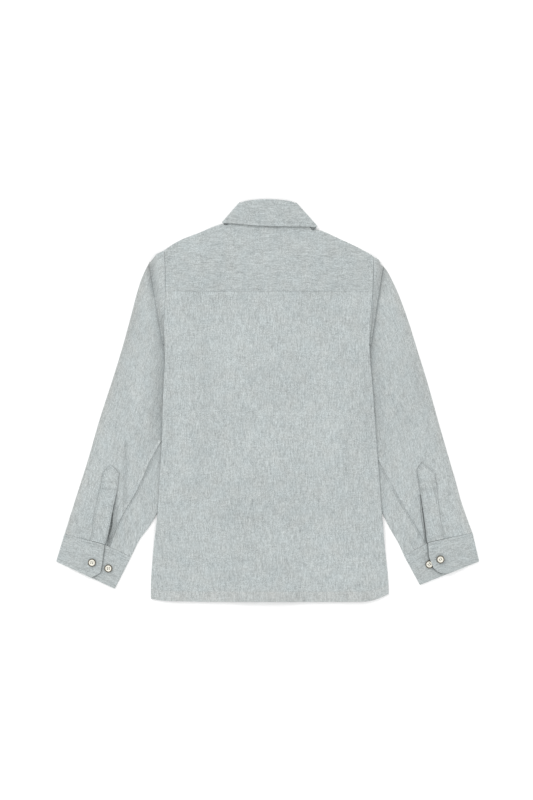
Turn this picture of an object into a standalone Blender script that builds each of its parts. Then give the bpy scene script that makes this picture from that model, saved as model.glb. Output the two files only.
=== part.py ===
"""A long-sleeved woven shirt, closed and laid flat on its front, with its back, yoke and collar upwards.

Sizes are in millimetres until a mesh is made, and the scene is in metres. X runs across the shirt towards the
wearer's right, Y towards the collar and Z up from the surface that the shirt lies on. Each cut and sewn piece is a
wall of even thickness round a grid of places on its middle surface. The lower part of each sleeve head is tucked
under the body in two folds, so the sleeves lie closer to the body than they were cut.
"""

from collections import namedtuple

import bmesh
import bpy
import numpy as np

MM = 0.001

# How cloth stacks
WALL = 1.1
GAP = 0.3
PITCH = WALL + GAP
HALF = WALL / 2
BEND = PITCH / 2  # radius of the middle of a wall where two layers meet in a fold
EDGE = BEND + HALF  # from a fold's centre line to its outer face
LIE = HALF  # middle of a wall that lies on the surface
TUBE = 2 * PITCH  # what two layers and the gap above them add
FOLD_ANGLES = np.radians((45, 90, 135))

# How far a layer stays level past the edge of what it lies on, and the length of its slope after that
KEEP_LEVEL = 9.0
SLOPE = 26.0

# Buttons
BUTTON_R = 5.6
BUTTON_HIGH = 2.2
BUTTON_SIDES = 16

# The closed front
PLACKET_WIDE = 25.0
FRONT_BUTTONS = 7
FRONT_BUTTON_TOP = 172.0
FRONT_BUTTON_STEP = 63.0
BUTTON_RISE = BUTTON_HIGH + GAP
BUTTON_NEAR = 10.0  # the cloth is level this far from a front button's middle, and down again at BUTTON_FAR
BUTTON_FAR = FRONT_BUTTON_STEP / 2
NECK_BUTTON_Y = 212.5
SIDE_SEAM_IN = 9.0  # the back turns under this far at each side

# The yoke
YOKE_SEAM_Y = 152.9
YOKE_STEP = 0.45  # the yoke lies on the back's edge
YOKE_OVER = 18.0  # it runs this far over the shoulder
YOKE_NECK_LEFT = -60.3
YOKE_NECK_RIGHT = 65.5

AIR = 1.1  # room between front and back away from the edges
SLEEVE_AIR = 1.0

CLOTH = (0.505, 0.55, 0.548)
CLOTH_YOKE = (0.485, 0.53, 0.525)
BUTTON_COLOUR = (0.79, 0.77, 0.66)

# The body's two edges at each height: armhole seams above the armpit and side folds below it
BodyRow = namedtuple("BodyRow", "y left right")
BODY_ROWS = (
    BodyRow(-283.0, -163.4, 170.2),
    BodyRow(-256.9, -163.2, 168.9),
    BodyRow(-216.0, -160.3, 164.8),
    BodyRow(-167.3, -155.0, 160.8),
    BodyRow(-97.3, -150.5, 155.7),
    BodyRow(-51.1, -148.1, 152.3),
    BodyRow(-6.3, -147.0, 149.2),
    BodyRow(28.7, -145.4, 146.6),
    BodyRow(63.7, -143.8, 143.4),
    BodyRow(98.7, -144.6, 142.6),
    BodyRow(130.0, -143.4, 145.2),
    BodyRow(152.9, -142.9, 146.8),
    BodyRow(175.0, -142.9, 147.8),
    BodyRow(212.0, -144.9, 148.9),
)
ARMPIT_Y = 78.0
HEM_BELOW = -270.0

# The hem, which rises at the wearer's right corner
HemRow = namedtuple("HemRow", "x y")
HEM_ROWS = (
    HemRow(-164.0, -277.6),
    HemRow(-150.0, -280.0),
    HemRow(-110.0, -281.4),
    HemRow(0.0, -282.0),
    HemRow(125.0, -282.0),
    HemRow(146.0, -280.2),
    HemRow(158.0, -276.6),
    HemRow(170.0, -270.6),
)

# The fold along the top of each shoulder
ShoulderRow = namedtuple("ShoulderRow", "x y")
SHOULDER_ROWS = (
    ShoulderRow(-164.5, 195.3),
    ShoulderRow(-150.5, 205.4),
    ShoulderRow(-136.5, 216.4),
    ShoulderRow(-122.5, 224.6),
    ShoulderRow(-94.5, 235.8),
    ShoulderRow(-66.5, 246.6),
    ShoulderRow(-60.0, 247.3),
    ShoulderRow(65.0, 239.8),
    ShoulderRow(73.5, 238.4),
    ShoulderRow(101.5, 226.4),
    ShoulderRow(129.5, 213.2),
    ShoulderRow(143.5, 205.0),
    ShoulderRow(160.3, 190.2),
)

# Each sleeve from the second tuck to the cuff, by the two ends of a line across it
SleeveRow = namedtuple("SleeveRow", "outer_x outer_y inner_x inner_y")
LEFT_ROWS = (
    SleeveRow(-164.5, 195.3, -112.7, 79.1),
    SleeveRow(-169.9, 185.5, -108.5, 53.9),
    SleeveRow(-177.2, 168.7, -104.3, 21.7),
    SleeveRow(-184.1, 146.3, -102.2, -13.3),
    SleeveRow(-192.8, 112.7, -105.7, -48.3),
    SleeveRow(-205.2, 67.9, -115.5, -80.5),
    SleeveRow(-219.2, 23.1, -129.5, -111.3),
    SleeveRow(-235.5, -27.3, -143.5, -139.3),
    SleeveRow(-250.0, -77.7, -156.1, -161.0),
    SleeveRow(-260.5, -111.3, -166.7, -178.5),
    SleeveRow(-271.3, -144.9, -179.2, -195.3),
    SleeveRow(-284.3, -186.5, -190.9, -218.6),
)
RIGHT_ROWS = (
    SleeveRow(160.3, 190.2, 111.3, 77.7),
    SleeveRow(167.3, 182.0, 107.1, 52.5),
    SleeveRow(177.1, 163.1, 102.9, 18.9),
    SleeveRow(184.5, 146.3, 100.8, -16.1),
    SleeveRow(196.8, 112.7, 104.3, -51.1),
    SleeveRow(210.8, 67.9, 114.1, -83.3),
    SleeveRow(224.7, 23.1, 129.5, -112.7),
    SleeveRow(238.7, -27.3, 145.6, -139.3),
    SleeveRow(253.3, -77.7, 159.6, -156.8),
    SleeveRow(263.2, -111.3, 172.2, -180.6),
    SleeveRow(272.6, -144.9, 183.4, -199.9),
    SleeveRow(287.1, -185.0, 191.3, -217.2),
)

# Each cuff's corners, with the place on its top edge where the upper lap ends, and that lap's end at each depth
Cuff = namedtuple("Cuff", "outer_top lap_top inner_top outer_bottom inner_bottom lap_end")
LapRow = namedtuple("LapRow", "depth across")
LAP_TOP = 0.61
HIDDEN_END = 0.40  # where the under lap ends, below the upper one
CUFF_LEFT = Cuff(
    (-284.5, -187.0),
    (-228.1, -201.9),
    (-191.1, -219.1),
    (-296.0, -225.3),
    (-213.9, -263.6),
    (LapRow(0.0, 0.61), LapRow(0.45, 0.67), LapRow(0.765, 0.707), LapRow(1.0, 0.60)),
)
CUFF_RIGHT = Cuff(
    (287.3, -185.5),
    (224.6, -199.1),
    (191.5, -217.7),
    (296.5, -225.4),
    (213.6, -258.3),
    (
        LapRow(0.0, 0.61),
        LapRow(0.36, 0.69),
        LapRow(0.69, 0.70),
        LapRow(0.82, 0.67),
        LapRow(0.925, 0.615),
        LapRow(1.0, 0.52),
    ),
)

# Each sleeve placket's two edges, and the slit's far edge beside it
PlacketRow = namedtuple("PlacketRow", "outer_x outer_y inner_x inner_y")
PLACKET_LEFT = (
    PlacketRow(-219.7, -90.4, -218.1, -90.4),
    PlacketRow(-230.7, -101.2, -207.6, -101.2),
    PlacketRow(-233.5, -122.1, -209.6, -122.1),
    PlacketRow(-242.3, -157.2, -217.0, -157.2),
    PlacketRow(-245.6, -190.3, -223.0, -188.0),
    PlacketRow(-248.4, -195.8, -227.2, -201.3),
)
PLACKET_RIGHT = (
    PlacketRow(216.2, -86.6, 214.6, -86.6),
    PlacketRow(234.2, -102.3, 208.9, -96.7),
    PlacketRow(236.6, -122.1, 212.8, -122.1),
    PlacketRow(241.0, -162.8, 218.8, -162.8),
    PlacketRow(246.4, -190.3, 222.0, -190.3),
    PlacketRow(247.2, -193.6, 223.4, -198.6),
)
SlitRow = namedtuple("SlitRow", "y lap_x far_x")
SLIT_LEFT = (
    SlitRow(-128.7, -211.6, -210.6),
    SlitRow(-155.0, -217.2, -209.8),
    SlitRow(-179.3, -222.4, -211.0),
    SlitRow(-206.0, -227.8, -221.6),
)
SLIT_RIGHT = (
    SlitRow(-128.7, 213.6, 212.6),
    SlitRow(-155.0, 217.6, 213.8),
    SlitRow(-179.3, 221.0, 217.2),
    SlitRow(-206.0, 224.4, 220.6),
)
BINDING_WIDE = 4.4

# The collar, from the middle of the front round one side to the middle of the back.
# turn is the side that faces out: 180 down at the front, 0 up at the back
CollarRow = namedtuple("CollarRow", "turn neck_x neck_y roll_x roll_y edge_x edge_y")
COLLAR_LEFT = (
    CollarRow(180, -2.0, 200.0, -2.2, 223.5, -44.0, 167.0),
    CollarRow(180, -22.0, 203.0, -13.0, 231.0, -50.0, 187.0),
    CollarRow(180, -42.0, 214.0, -26.0, 244.0, -56.0, 207.0),
    CollarRow(180, -53.5, 230.0, -36.0, 258.0, -60.5, 229.0),
    CollarRow(90, -57.6, 242.0, -38.0, 275.5, -61.6, 248.0),
    CollarRow(0, -45.0, 246.0, -30.5, 277.8, -47.0, 247.6),
    CollarRow(0, -24.0, 248.6, -19.0, 279.6, -23.0, 245.4),
    CollarRow(0, 1.0, 249.6, 0.0, 280.6, 1.0, 244.2),
)
COLLAR_RIGHT = (
    CollarRow(0, 25.0, 248.6, 19.0, 279.5, 28.0, 243.6),
    CollarRow(0, 48.0, 243.0, 32.0, 277.6, 52.0, 243.4),
    CollarRow(90, 62.4, 236.4, 39.0, 275.0, 68.0, 242.6),
    CollarRow(180, 57.0, 225.0, 40.0, 251.0, 64.0, 222.0),
    CollarRow(180, 43.0, 212.0, 28.0, 240.0, 57.0, 203.0),
    CollarRow(180, 22.0, 203.0, 14.0, 230.0, 50.5, 185.0),
    CollarRow(180, 2.0, 200.0, 2.2, 223.5, 44.0, 167.0),
)
STAND_LAP = 13.0
FALL_LIFT = 1.6  # the fall's free edge stands this far off the yoke at the middle
TURN_REACH = 8.0  # over this length beside a side turn, the roll swings round to lie square to itself
FALLS_OUTLINE = ((-66, 251), (-46, 164), (46, 164), (73, 243), (40, 272), (-40, 276))

# Soft folds pressed into what shows: from one end to the other, how wide and how high
Crease = namedtuple("Crease", "x1 y1 x2 y2 wide high")
BODY_CREASES = (
    Crease(47.0, 150.0, 45.0, 118.0, 6.0, 0.5),
    Crease(126.0, 140.0, 112.0, 96.0, 9.0, 0.6),
    Crease(-118.0, 146.0, -112.0, 70.0, 12.0, 0.6),
    Crease(110.0, -44.0, 114.0, -112.0, 10.0, 0.5),
    Crease(-70.0, -158.0, 60.0, -166.0, 14.0, 0.5),
    Crease(-60.0, 60.0, -66.0, -70.0, 22.0, 0.5),
)
SLEEVE_CREASES = (
    Crease(-196.0, -56.0, -199.0, -148.0, 8.0, -0.6),
    Crease(-186.0, 120.0, -214.0, -10.0, 9.0, 0.6),
    Crease(-172.0, 60.0, -190.0, -60.0, 9.0, 0.5),
    Crease(206.0, 50.0, 224.0, -32.0, 8.0, -0.6),
    Crease(180.0, 110.0, 192.0, 10.0, 10.0, 0.6),
    Crease(196.0, -50.0, 206.0, -150.0, 9.0, 0.5),
)


def column(table, name):
    return np.array([getattr(row, name) for row in table], float)


def curve(places, values, at):
    """A smooth curve through a table that never swings past its own values."""
    places = np.asarray(places, float)
    values = np.asarray(values, float)
    steps = np.diff(places)
    slopes = np.diff(values) / steps
    tangents = np.concatenate([slopes[:1], (slopes[1:] + slopes[:-1]) / 2, slopes[-1:]])
    turning = slopes[1:] * slopes[:-1] <= 0
    tangents[1:-1][turning] = 0
    at = np.clip(at, places[0], places[-1])
    k = np.clip(np.searchsorted(places, at) - 1, 0, len(steps) - 1)
    u = (at - places[k]) / steps[k]
    start = values[k] * (1 + 2 * u) * (1 - u) ** 2 + tangents[k] * steps[k] * u * (1 - u) ** 2
    end = values[k + 1] * u * u * (3 - 2 * u) - tangents[k + 1] * steps[k] * u * u * (1 - u)
    return start + end


def ease(distance, reach):
    """1 up to a distance of 0, then a soft fall to 0 at reach."""
    u = np.clip(distance / reach, 0, 1)
    return 1 - u * u * (3 - 2 * u)


def outside(x, y, outline):
    """How far each place lies outside a closed outline, and 0 within it."""
    x, y = np.broadcast_arrays(np.asarray(x, float), np.asarray(y, float))
    nearest = np.full(x.shape, np.inf)
    within = np.zeros(x.shape, bool)
    for (ax, ay), (bx, by) in zip(outline, np.roll(outline, -1, axis=0)):
        run = (x - ax) * (bx - ax) + (y - ay) * (by - ay)
        run = np.clip(run / ((bx - ax) ** 2 + (by - ay) ** 2), 0, 1)
        nearest = np.minimum(nearest, np.hypot(x - ax - run * (bx - ax), y - ay - run * (by - ay)))
        crosses = (ay > y) != (by > y)
        rise = by - ay if by != ay else 1.0
        within ^= crosses & (x < (bx - ax) * (y - ay) / rise + ax)
    return np.where(within, 0, nearest)


def crease_height(x, y, creases):
    """The height that soft folds add."""
    total = np.zeros(np.shape(x))
    for crease in creases:
        dx = crease.x2 - crease.x1
        dy = crease.y2 - crease.y1
        run = ((x - crease.x1) * dx + (y - crease.y1) * dy) / (dx * dx + dy * dy)
        away = np.hypot(x - crease.x1 - np.clip(run, 0, 1) * dx, y - crease.y1 - np.clip(run, 0, 1) * dy)
        total = total + crease.high * np.exp(-((away / crease.wide) ** 2))
    return total


# The body's outline


def body_edge(y, name):
    return curve(column(BODY_ROWS, "y"), column(BODY_ROWS, name), y)


def hem_y(x):
    return curve(column(HEM_ROWS, "x"), column(HEM_ROWS, "y"), x)


def shoulder_y(x):
    return curve(column(SHOULDER_ROWS, "x"), column(SHOULDER_ROWS, "y"), x)


def neck_y(x, facing):
    """The neck seam's height at x, on the front or on the back."""
    rows = [row for row in COLLAR_LEFT + COLLAR_RIGHT if row.turn in (facing, 90)]
    rows = sorted(rows, key=lambda row: row.neck_x)
    return curve(column(rows, "neck_x"), column(rows, "neck_y"), x)


# What lies under the body


def sleeve_outline(rows):
    outer = [(row.outer_x, row.outer_y) for row in rows]
    inner = [(row.inner_x, row.inner_y) for row in rows]
    return np.array(outer + inner[::-1])


def tuck_outline(rows, first_fold):
    """The part of a sleeve head between its two folds."""
    return np.array([(rows[0].outer_x, rows[0].outer_y), (rows[0].inner_x, rows[0].inner_y), first_fold])


FIRST_FOLD_LEFT = (-144.2, 78.5)
FIRST_FOLD_RIGHT = (142.8, 78.0)
UNDER_BODY = (
    sleeve_outline(LEFT_ROWS),
    sleeve_outline(RIGHT_ROWS),
    tuck_outline(LEFT_ROWS, FIRST_FOLD_LEFT),
    tuck_outline(RIGHT_ROWS, FIRST_FOLD_RIGHT),
)


def support(x, y):
    """How high the sleeves and the collar's points hold the body up."""
    total = PITCH * ease(outside(x, y, FALLS_OUTLINE) - KEEP_LEVEL, SLOPE)
    for outline in UNDER_BODY:
        total = total + TUBE * ease(outside(x, y, outline) - KEEP_LEVEL, SLOPE)
    return total


def front_button_ys():
    return [FRONT_BUTTON_TOP - FRONT_BUTTON_STEP * k for k in range(FRONT_BUTTONS)]


def over_buttons(y):
    """1 beside the front buttons, falling straight to 0 halfway between two."""
    away = np.min([abs(y - place) for place in front_button_ys()], axis=0)
    return BUTTON_RISE * np.interp(away, (BUTTON_NEAR, BUTTON_FAR), (1, 0))


def front_z(x, y, layers):
    """Middle of a front's wall, with this many layers below it at the middle of the front."""
    return LIE + support(x, y) + (over_buttons(y) + layers * PITCH) * np.interp(abs(x), (16, 34), (1, 0))


def edge_room(x, y):
    """0 at the body's side edges and shoulders, 1 well inside them."""
    in_from_side = np.minimum(x - body_edge(y, "left"), body_edge(y, "right") - x)
    return (1 - ease(in_from_side - 4, 40)) * (1 - ease(shoulder_y(x) - y - 4, 30))


def back_z(x, y):
    """Middle of the back's wall."""
    rise = BUTTON_RISE * np.interp(y, (-262, -216, 182, 206), (0, 1, 1, 0))
    over_front = (rise + 2 * PITCH * ease(y - 224, 22)) * np.interp(abs(x), (16, 34, 60), (1, 0.45, 0))
    puffed = AIR + crease_height(x, y, BODY_CREASES)
    return LIE + PITCH + support(x, y) + over_front + puffed * edge_room(x, y)


# Making walls


def fabric(name, colour, roughness=0.9):
    made = bpy.data.materials.new(name)
    made.use_nodes = True
    shader = made.node_tree.nodes["Principled BSDF"]
    shader.inputs["Base Color"].default_value = (*colour, 1)
    shader.inputs["Roughness"].default_value = roughness
    shader.inputs["Metallic"].default_value = 0
    made.diffuse_color = (*colour, 1)
    return made


def add_object(name, vertices, faces, colour, roughness=0.9):
    mesh = bpy.data.meshes.new(name)
    mesh.from_pydata([tuple(v) for v in np.asarray(vertices) * MM], [], faces)
    shape = bmesh.new()
    shape.from_mesh(mesh)
    bmesh.ops.recalc_face_normals(shape, faces=shape.faces)
    bmesh.ops.triangulate(shape, faces=shape.faces)
    if shape.calc_volume(signed=True) < 0:
        bmesh.ops.reverse_faces(shape, faces=shape.faces)
    shape.to_mesh(mesh)
    shape.free()
    mesh.shade_smooth()
    mesh.set_sharp_from_angle(angle=np.radians(40))
    made = bpy.data.objects.new(name, mesh)
    made.data.materials.append(fabric(name, colour, roughness))
    bpy.context.scene.collection.objects.link(made)
    return made


def wall(name, middle, keep=None, around=False, colour=CLOTH):
    """A closed wall round a grid of places on its middle. keep says which cells there are, and around joins the
    last column to the first."""
    rows, columns = middle.shape[:2]
    down = np.gradient(middle, axis=0)
    if around:
        across = np.roll(middle, -1, axis=1) - np.roll(middle, 1, axis=1)
    else:
        across = np.gradient(middle, axis=1)
    normal = np.cross(across, down)
    normal /= np.linalg.norm(normal, axis=2, keepdims=True)
    places = np.stack([middle + normal * HALF, middle - normal * HALF], axis=2).reshape(-1, 3)
    cells = columns if around else columns - 1
    if keep is None:
        keep = np.ones((rows - 1, cells), bool)

    def corner(r, c):
        return 2 * (r * columns + c % columns)

    faces = []
    edges = set()
    for r, c in np.argwhere(keep):
        loop = [corner(r, c), corner(r, c + 1), corner(r + 1, c + 1), corner(r + 1, c)]
        slant = middle[r + 1, (c + 1) % columns] - middle[r, c]
        first = 0 if slant[0] * slant[1] > 0 else 1
        for triangle in ((first, first + 1, first + 2), (first, first + 2, (first + 3) % 4)):
            corners = [loop[k % 4] for k in triangle]
            faces.append(corners)
            faces.append([k + 1 for k in reversed(corners)])
        edges.update(zip(loop, loop[1:] + loop[:1]))
    for a, b in edges:
        if (b, a) not in edges:
            faces.append([b, a, a + 1, b + 1])
    used = sorted({k for face in faces for k in face})
    number = {k: i for i, k in enumerate(used)}
    faces = [[number[k] for k in face] for face in faces]
    return add_object(name, places[used], faces, colour)


def grid(x, y, z):
    return np.stack(np.broadcast_arrays(x, y, z), axis=-1)


# The body

# Columns shared by every body panel, so that layers stay parallel: steps in from each side, then places across
SIDE_STEPS = (0, 8, 17, 27, 38, 50, 65)
MIDDLE_LEFT = (YOKE_NECK_LEFT, -54, -44, -34, -16, -PLACKET_WIDE / 2)
MIDDLE_RIGHT = (PLACKET_WIDE / 2, 16, 34, 44, 54, YOKE_NECK_RIGHT)
SIDES = len(SIDE_STEPS)


def columns_at(y, inset=GAP / 2):
    """The x of every column, for rows at heights y."""
    y = np.asarray(y, float).reshape(-1, 1)
    steps = np.array(SIDE_STEPS, float)
    steps[0] = 0
    left = body_edge(y, "left") + steps + np.where(steps == 0, inset, 0)
    right = body_edge(y, "right") - steps[::-1] - np.where(steps[::-1] == 0, inset, 0)
    middle = np.array((*MIDDLE_LEFT, 0, *MIDDLE_RIGHT)) * np.ones_like(y)
    return np.concatenate([left, middle, right], axis=1)


def row_levels():
    """Heights of the rows from the hem up: level beside each front button and halfway between two."""
    rows = [-283.0, -262.0]
    for place in front_button_ys()[::-1]:
        rows += [place - BUTTON_FAR, place - BUTTON_NEAR, place + BUTTON_NEAR]
    return np.array(rows)


def down_to_hem(x, y):
    """Heights y with the lowest row laid on the hem."""
    return np.where(y < HEM_BELOW, hem_y(x), y)


def make_back():
    levels = row_levels()
    levels = np.append(levels[levels < YOKE_SEAM_Y], YOKE_SEAM_Y - GAP / 2)[:, None]
    below_armpit = levels < ARMPIT_Y
    x = columns_at(levels, inset=np.where(below_armpit, EDGE, GAP / 2))
    y = down_to_hem(x, levels * np.ones_like(x))
    middle = grid(x, y, back_z(x, y))
    sides = []
    for edge, sign in ((middle[:, :1], -1), (middle[:, -1:], 1)):
        centre = edge - (0, 0, BEND)
        arc = [centre + np.array((sign * BEND * np.sin(a), 0, BEND * np.cos(a))) for a in FOLD_ANGLES]
        under = centre - (0, 0, BEND)
        seam = under - (sign * SIDE_SEAM_IN, 0, 0)
        seam[..., 2] = LIE + support(seam[..., 0], seam[..., 1])
        sides.append(np.concatenate([*arc, under, seam], axis=1))
    whole = np.concatenate([sides[0][:, ::-1], middle, sides[1]], axis=1)
    keep = np.ones((whole.shape[0] - 1, whole.shape[1] - 1), bool)
    above = ~below_armpit[1:, 0]
    turned = sides[0].shape[1]
    keep[above, :turned] = False
    keep[above, -turned:] = False
    return wall("back", whole, keep)


def make_front(name, sign, layers):
    """One front, from its side seam to past the middle. sign is -1 for the wearer's left."""
    side = "left" if sign < 0 else "right"
    levels = row_levels()
    x = columns_at(levels)
    x = x[:, : SIDES + 8] if sign < 0 else x[:, ::-1][:, : SIDES + 8]
    edge = body_edge(levels, side)
    below_armpit = levels < ARMPIT_Y
    x[:, 0] = edge - sign * np.where(below_armpit, EDGE + SIDE_SEAM_IN + GAP, GAP / 2)
    x[:, 1] = edge - sign * np.where(below_armpit, 13.5, 8)
    y = down_to_hem(x, levels[:, None] * np.ones_like(x))
    past_neck = abs(x[-1]) < abs(YOKE_NECK_LEFT) - 4
    top = np.where(past_neck, neck_edge(x[-1]), shoulder_y(x[-1]) - YOKE_OVER - GAP)
    halfway = np.minimum(0.3 * (shoulder_y(x[-1]) - EDGE - 5 - levels[-1]), 0.6 * (top - levels[-1]))
    x = np.concatenate([x, x[-1:], x[-1:]])
    y = np.concatenate([y, levels[-1] + halfway[None, :], top[None, :]])
    x[-1, 0] = body_edge(top[0], side) - sign * GAP / 2
    return wall(name, grid(x, y, front_z(x, y, layers)))


def neck_edge(x):
    """Top edge of the fronts and the placket, just below the stand."""
    return np.where(abs(x) < 17, neck_y(0.0, 180), neck_y(x, 180) - 0.8) - GAP - 0.2


def make_front_placket():
    x = np.linspace(-PLACKET_WIDE / 2, PLACKET_WIDE / 2, 3)[None, :]
    levels = np.append(row_levels(), neck_edge(0.0))[:, None]
    y = down_to_hem(x, levels * np.ones_like(x))
    return wall("front_placket", grid(x, y, front_z(x, y, 0)))


def yoke_z(x, y):
    return back_z(x, y) + YOKE_STEP * ease(y - YOKE_SEAM_Y, 30)


def make_yoke():
    levels = row_levels()
    levels = np.append(YOKE_SEAM_Y + GAP / 2, levels[levels > YOKE_SEAM_Y + 1])[:, None]
    x = columns_at(levels)
    last = x[-1]
    beside = (last <= YOKE_NECK_LEFT) | (last >= YOKE_NECK_RIGHT)
    fold = shoulder_y(last) - EDGE
    neck = np.where(beside, fold - 5, neck_y(last, 0) - GAP - 0.4)
    x = np.concatenate([x, last[None], last[None], last[None], last[None], last[None]])
    y = levels * np.ones((1, len(last)))
    room = neck - y[-1]
    y = np.concatenate([y] + [(y[-1] + room * share)[None] for share in (0.3, 0.6, 0.85, 1)] + [fold[None]])
    for column_at, name, sign in ((0, "left", 1), (-1, "right", -1)):
        x[:, column_at] = body_edge(y[:, column_at], name) + sign * GAP / 2
    up_to_neck = len(y) - 2
    top = grid(x, y, yoke_z(x, y))
    centre = top[-1].copy()
    centre[:, 2] = LIE + BEND + support(centre[:, 0], centre[:, 1])
    top[-1, :, 2] = centre[:, 2] + BEND
    arc = [centre + np.array((0, BEND * np.sin(a), BEND * np.cos(a))) for a in FOLD_ANGLES]
    under = [centre - (0, 0, BEND)]
    for down in (9, YOKE_OVER - EDGE):
        row = under[0] - (0, down, 0)
        row[0, 0] = body_edge(row[0, 1], "left") + GAP / 2
        row[-1, 0] = body_edge(row[-1, 1], "right") - GAP / 2
        row[:, 2] = LIE + support(row[:, 0], row[:, 1])
        under.append(row)
    whole = np.concatenate([top, np.array(arc), np.array(under)])
    keep = np.ones((whole.shape[0] - 1, whole.shape[1] - 1), bool)
    open_cells = ~(beside[1:] & beside[:-1]) | ((last[1:] > 0) & (last[:-1] < 0))
    keep[up_to_neck:, open_cells] = False
    return wall("yoke", whole, keep, colour=CLOTH_YOKE)


# Sleeves


def cuff_top(cuff, t):
    """A place on a cuff's top edge, from its outer corner at 0 to its inner one at 1."""
    x = np.interp(t, (0, LAP_TOP, 1), (cuff.outer_top[0], cuff.lap_top[0], cuff.inner_top[0]))
    y = np.interp(t, (0, LAP_TOP, 1), (cuff.outer_top[1], cuff.lap_top[1], cuff.inner_top[1]))
    return np.stack([x, y], axis=-1)


def sleeve_top_z(x, y, rows):
    """Middle of a sleeve's upper wall, where it lies on its lower one."""
    outline = sleeve_outline(rows)
    return LIE + PITCH + air_in(x, y, outline)


def inside(x, y, outline):
    """How far each place lies within an outline."""
    nearest = np.full(np.shape(x), np.inf)
    for (ax, ay), (bx, by) in zip(outline, np.roll(outline, -1, axis=0)):
        run = (x - ax) * (bx - ax) + (y - ay) * (by - ay)
        run = np.clip(run / ((bx - ax) ** 2 + (by - ay) ** 2), 0, 1)
        nearest = np.minimum(nearest, np.hypot(x - ax - run * (bx - ax), y - ay - run * (by - ay)))
    return nearest


def body_outline():
    y = column(BODY_ROWS, "y")
    left = np.stack([column(BODY_ROWS, "left"), y], axis=1)
    right = np.stack([column(BODY_ROWS, "right"), y], axis=1)
    return np.concatenate([left, right[::-1]])


def air_in(x, y, outline):
    """Room between a sleeve's layers: none at its edges or under the body."""
    clear_of_body = 1 - ease(outside(x, y, body_outline()) - 4, 34)
    off_edge = 1 - ease(inside(x, y, outline) - 3, 26)
    return (SLEEVE_AIR + crease_height(x, y, SLEEVE_CREASES)) * clear_of_body * off_edge


def slit_at(place, slit, name):
    """Where a line across the sleeve meets one of the slit's edges, as a share of that line."""
    t = np.linspace(0, 1, 401)
    x, y = place(t).T
    edge = np.interp(-y, -column(slit, "y"), column(slit, name))
    return float(t[np.argmin(abs(x - edge))])


SLEEVE_PLACES = (0.35, 0.8, 1.4, 2, 3, 4, 5, 6, 7, 7.6, 8.2, 8.7, 9.3, 10, 10.6, 11)
UPPER_OUT = (0, 0.22, 0.45, 0.7, 0.9, 1)
UPPER_IN = (0, 0.3, 0.65, 1)
LOWER = (1, 0.8, LAP_TOP, 0.4, 0.2, 0)


def straight(outer, inner):
    """A line across the sleeve between two places on its edges."""
    outer = np.array(outer, float)
    inner = np.array(inner, float)
    return lambda t: outer + (inner - outer) * np.asarray(t, float)[..., None]


def sleeve_ring(edges, z_of, turned, facing, slit_out, slit_in):
    """One closed line round a flattened sleeve. edges gives the line across it, turned is the direction of its
    upper side, and facing is the sideways unit that it turns towards in a tuck."""
    ends = edges(np.array((0.0, 1.0)))
    long = np.linalg.norm(ends[1] - ends[0])
    flat = np.array((*(ends[1] - ends[0]) / long, 0))
    up = np.array((*(np.sin(turned) * np.asarray(facing)), np.cos(turned)))
    inset = EDGE / long

    def centre(t):
        place = edges(inset + (1 - 2 * inset) * t)
        return np.array((*place, z_of(place[0], place[1])))

    upper = [slit_out * k for k in UPPER_OUT] + [slit_in + (1 - slit_in) * k for k in UPPER_IN]
    points = [centre(t) + BEND * up for t in upper]
    points += [centre(1) + BEND * (np.cos(a) * up + np.sin(a) * flat) for a in FOLD_ANGLES]
    points += [centre(t) - BEND * up for t in LOWER]
    points += [centre(0) - BEND * (np.cos(a) * up + np.sin(a) * flat) for a in FOLD_ANGLES]
    return np.array(points)


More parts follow.
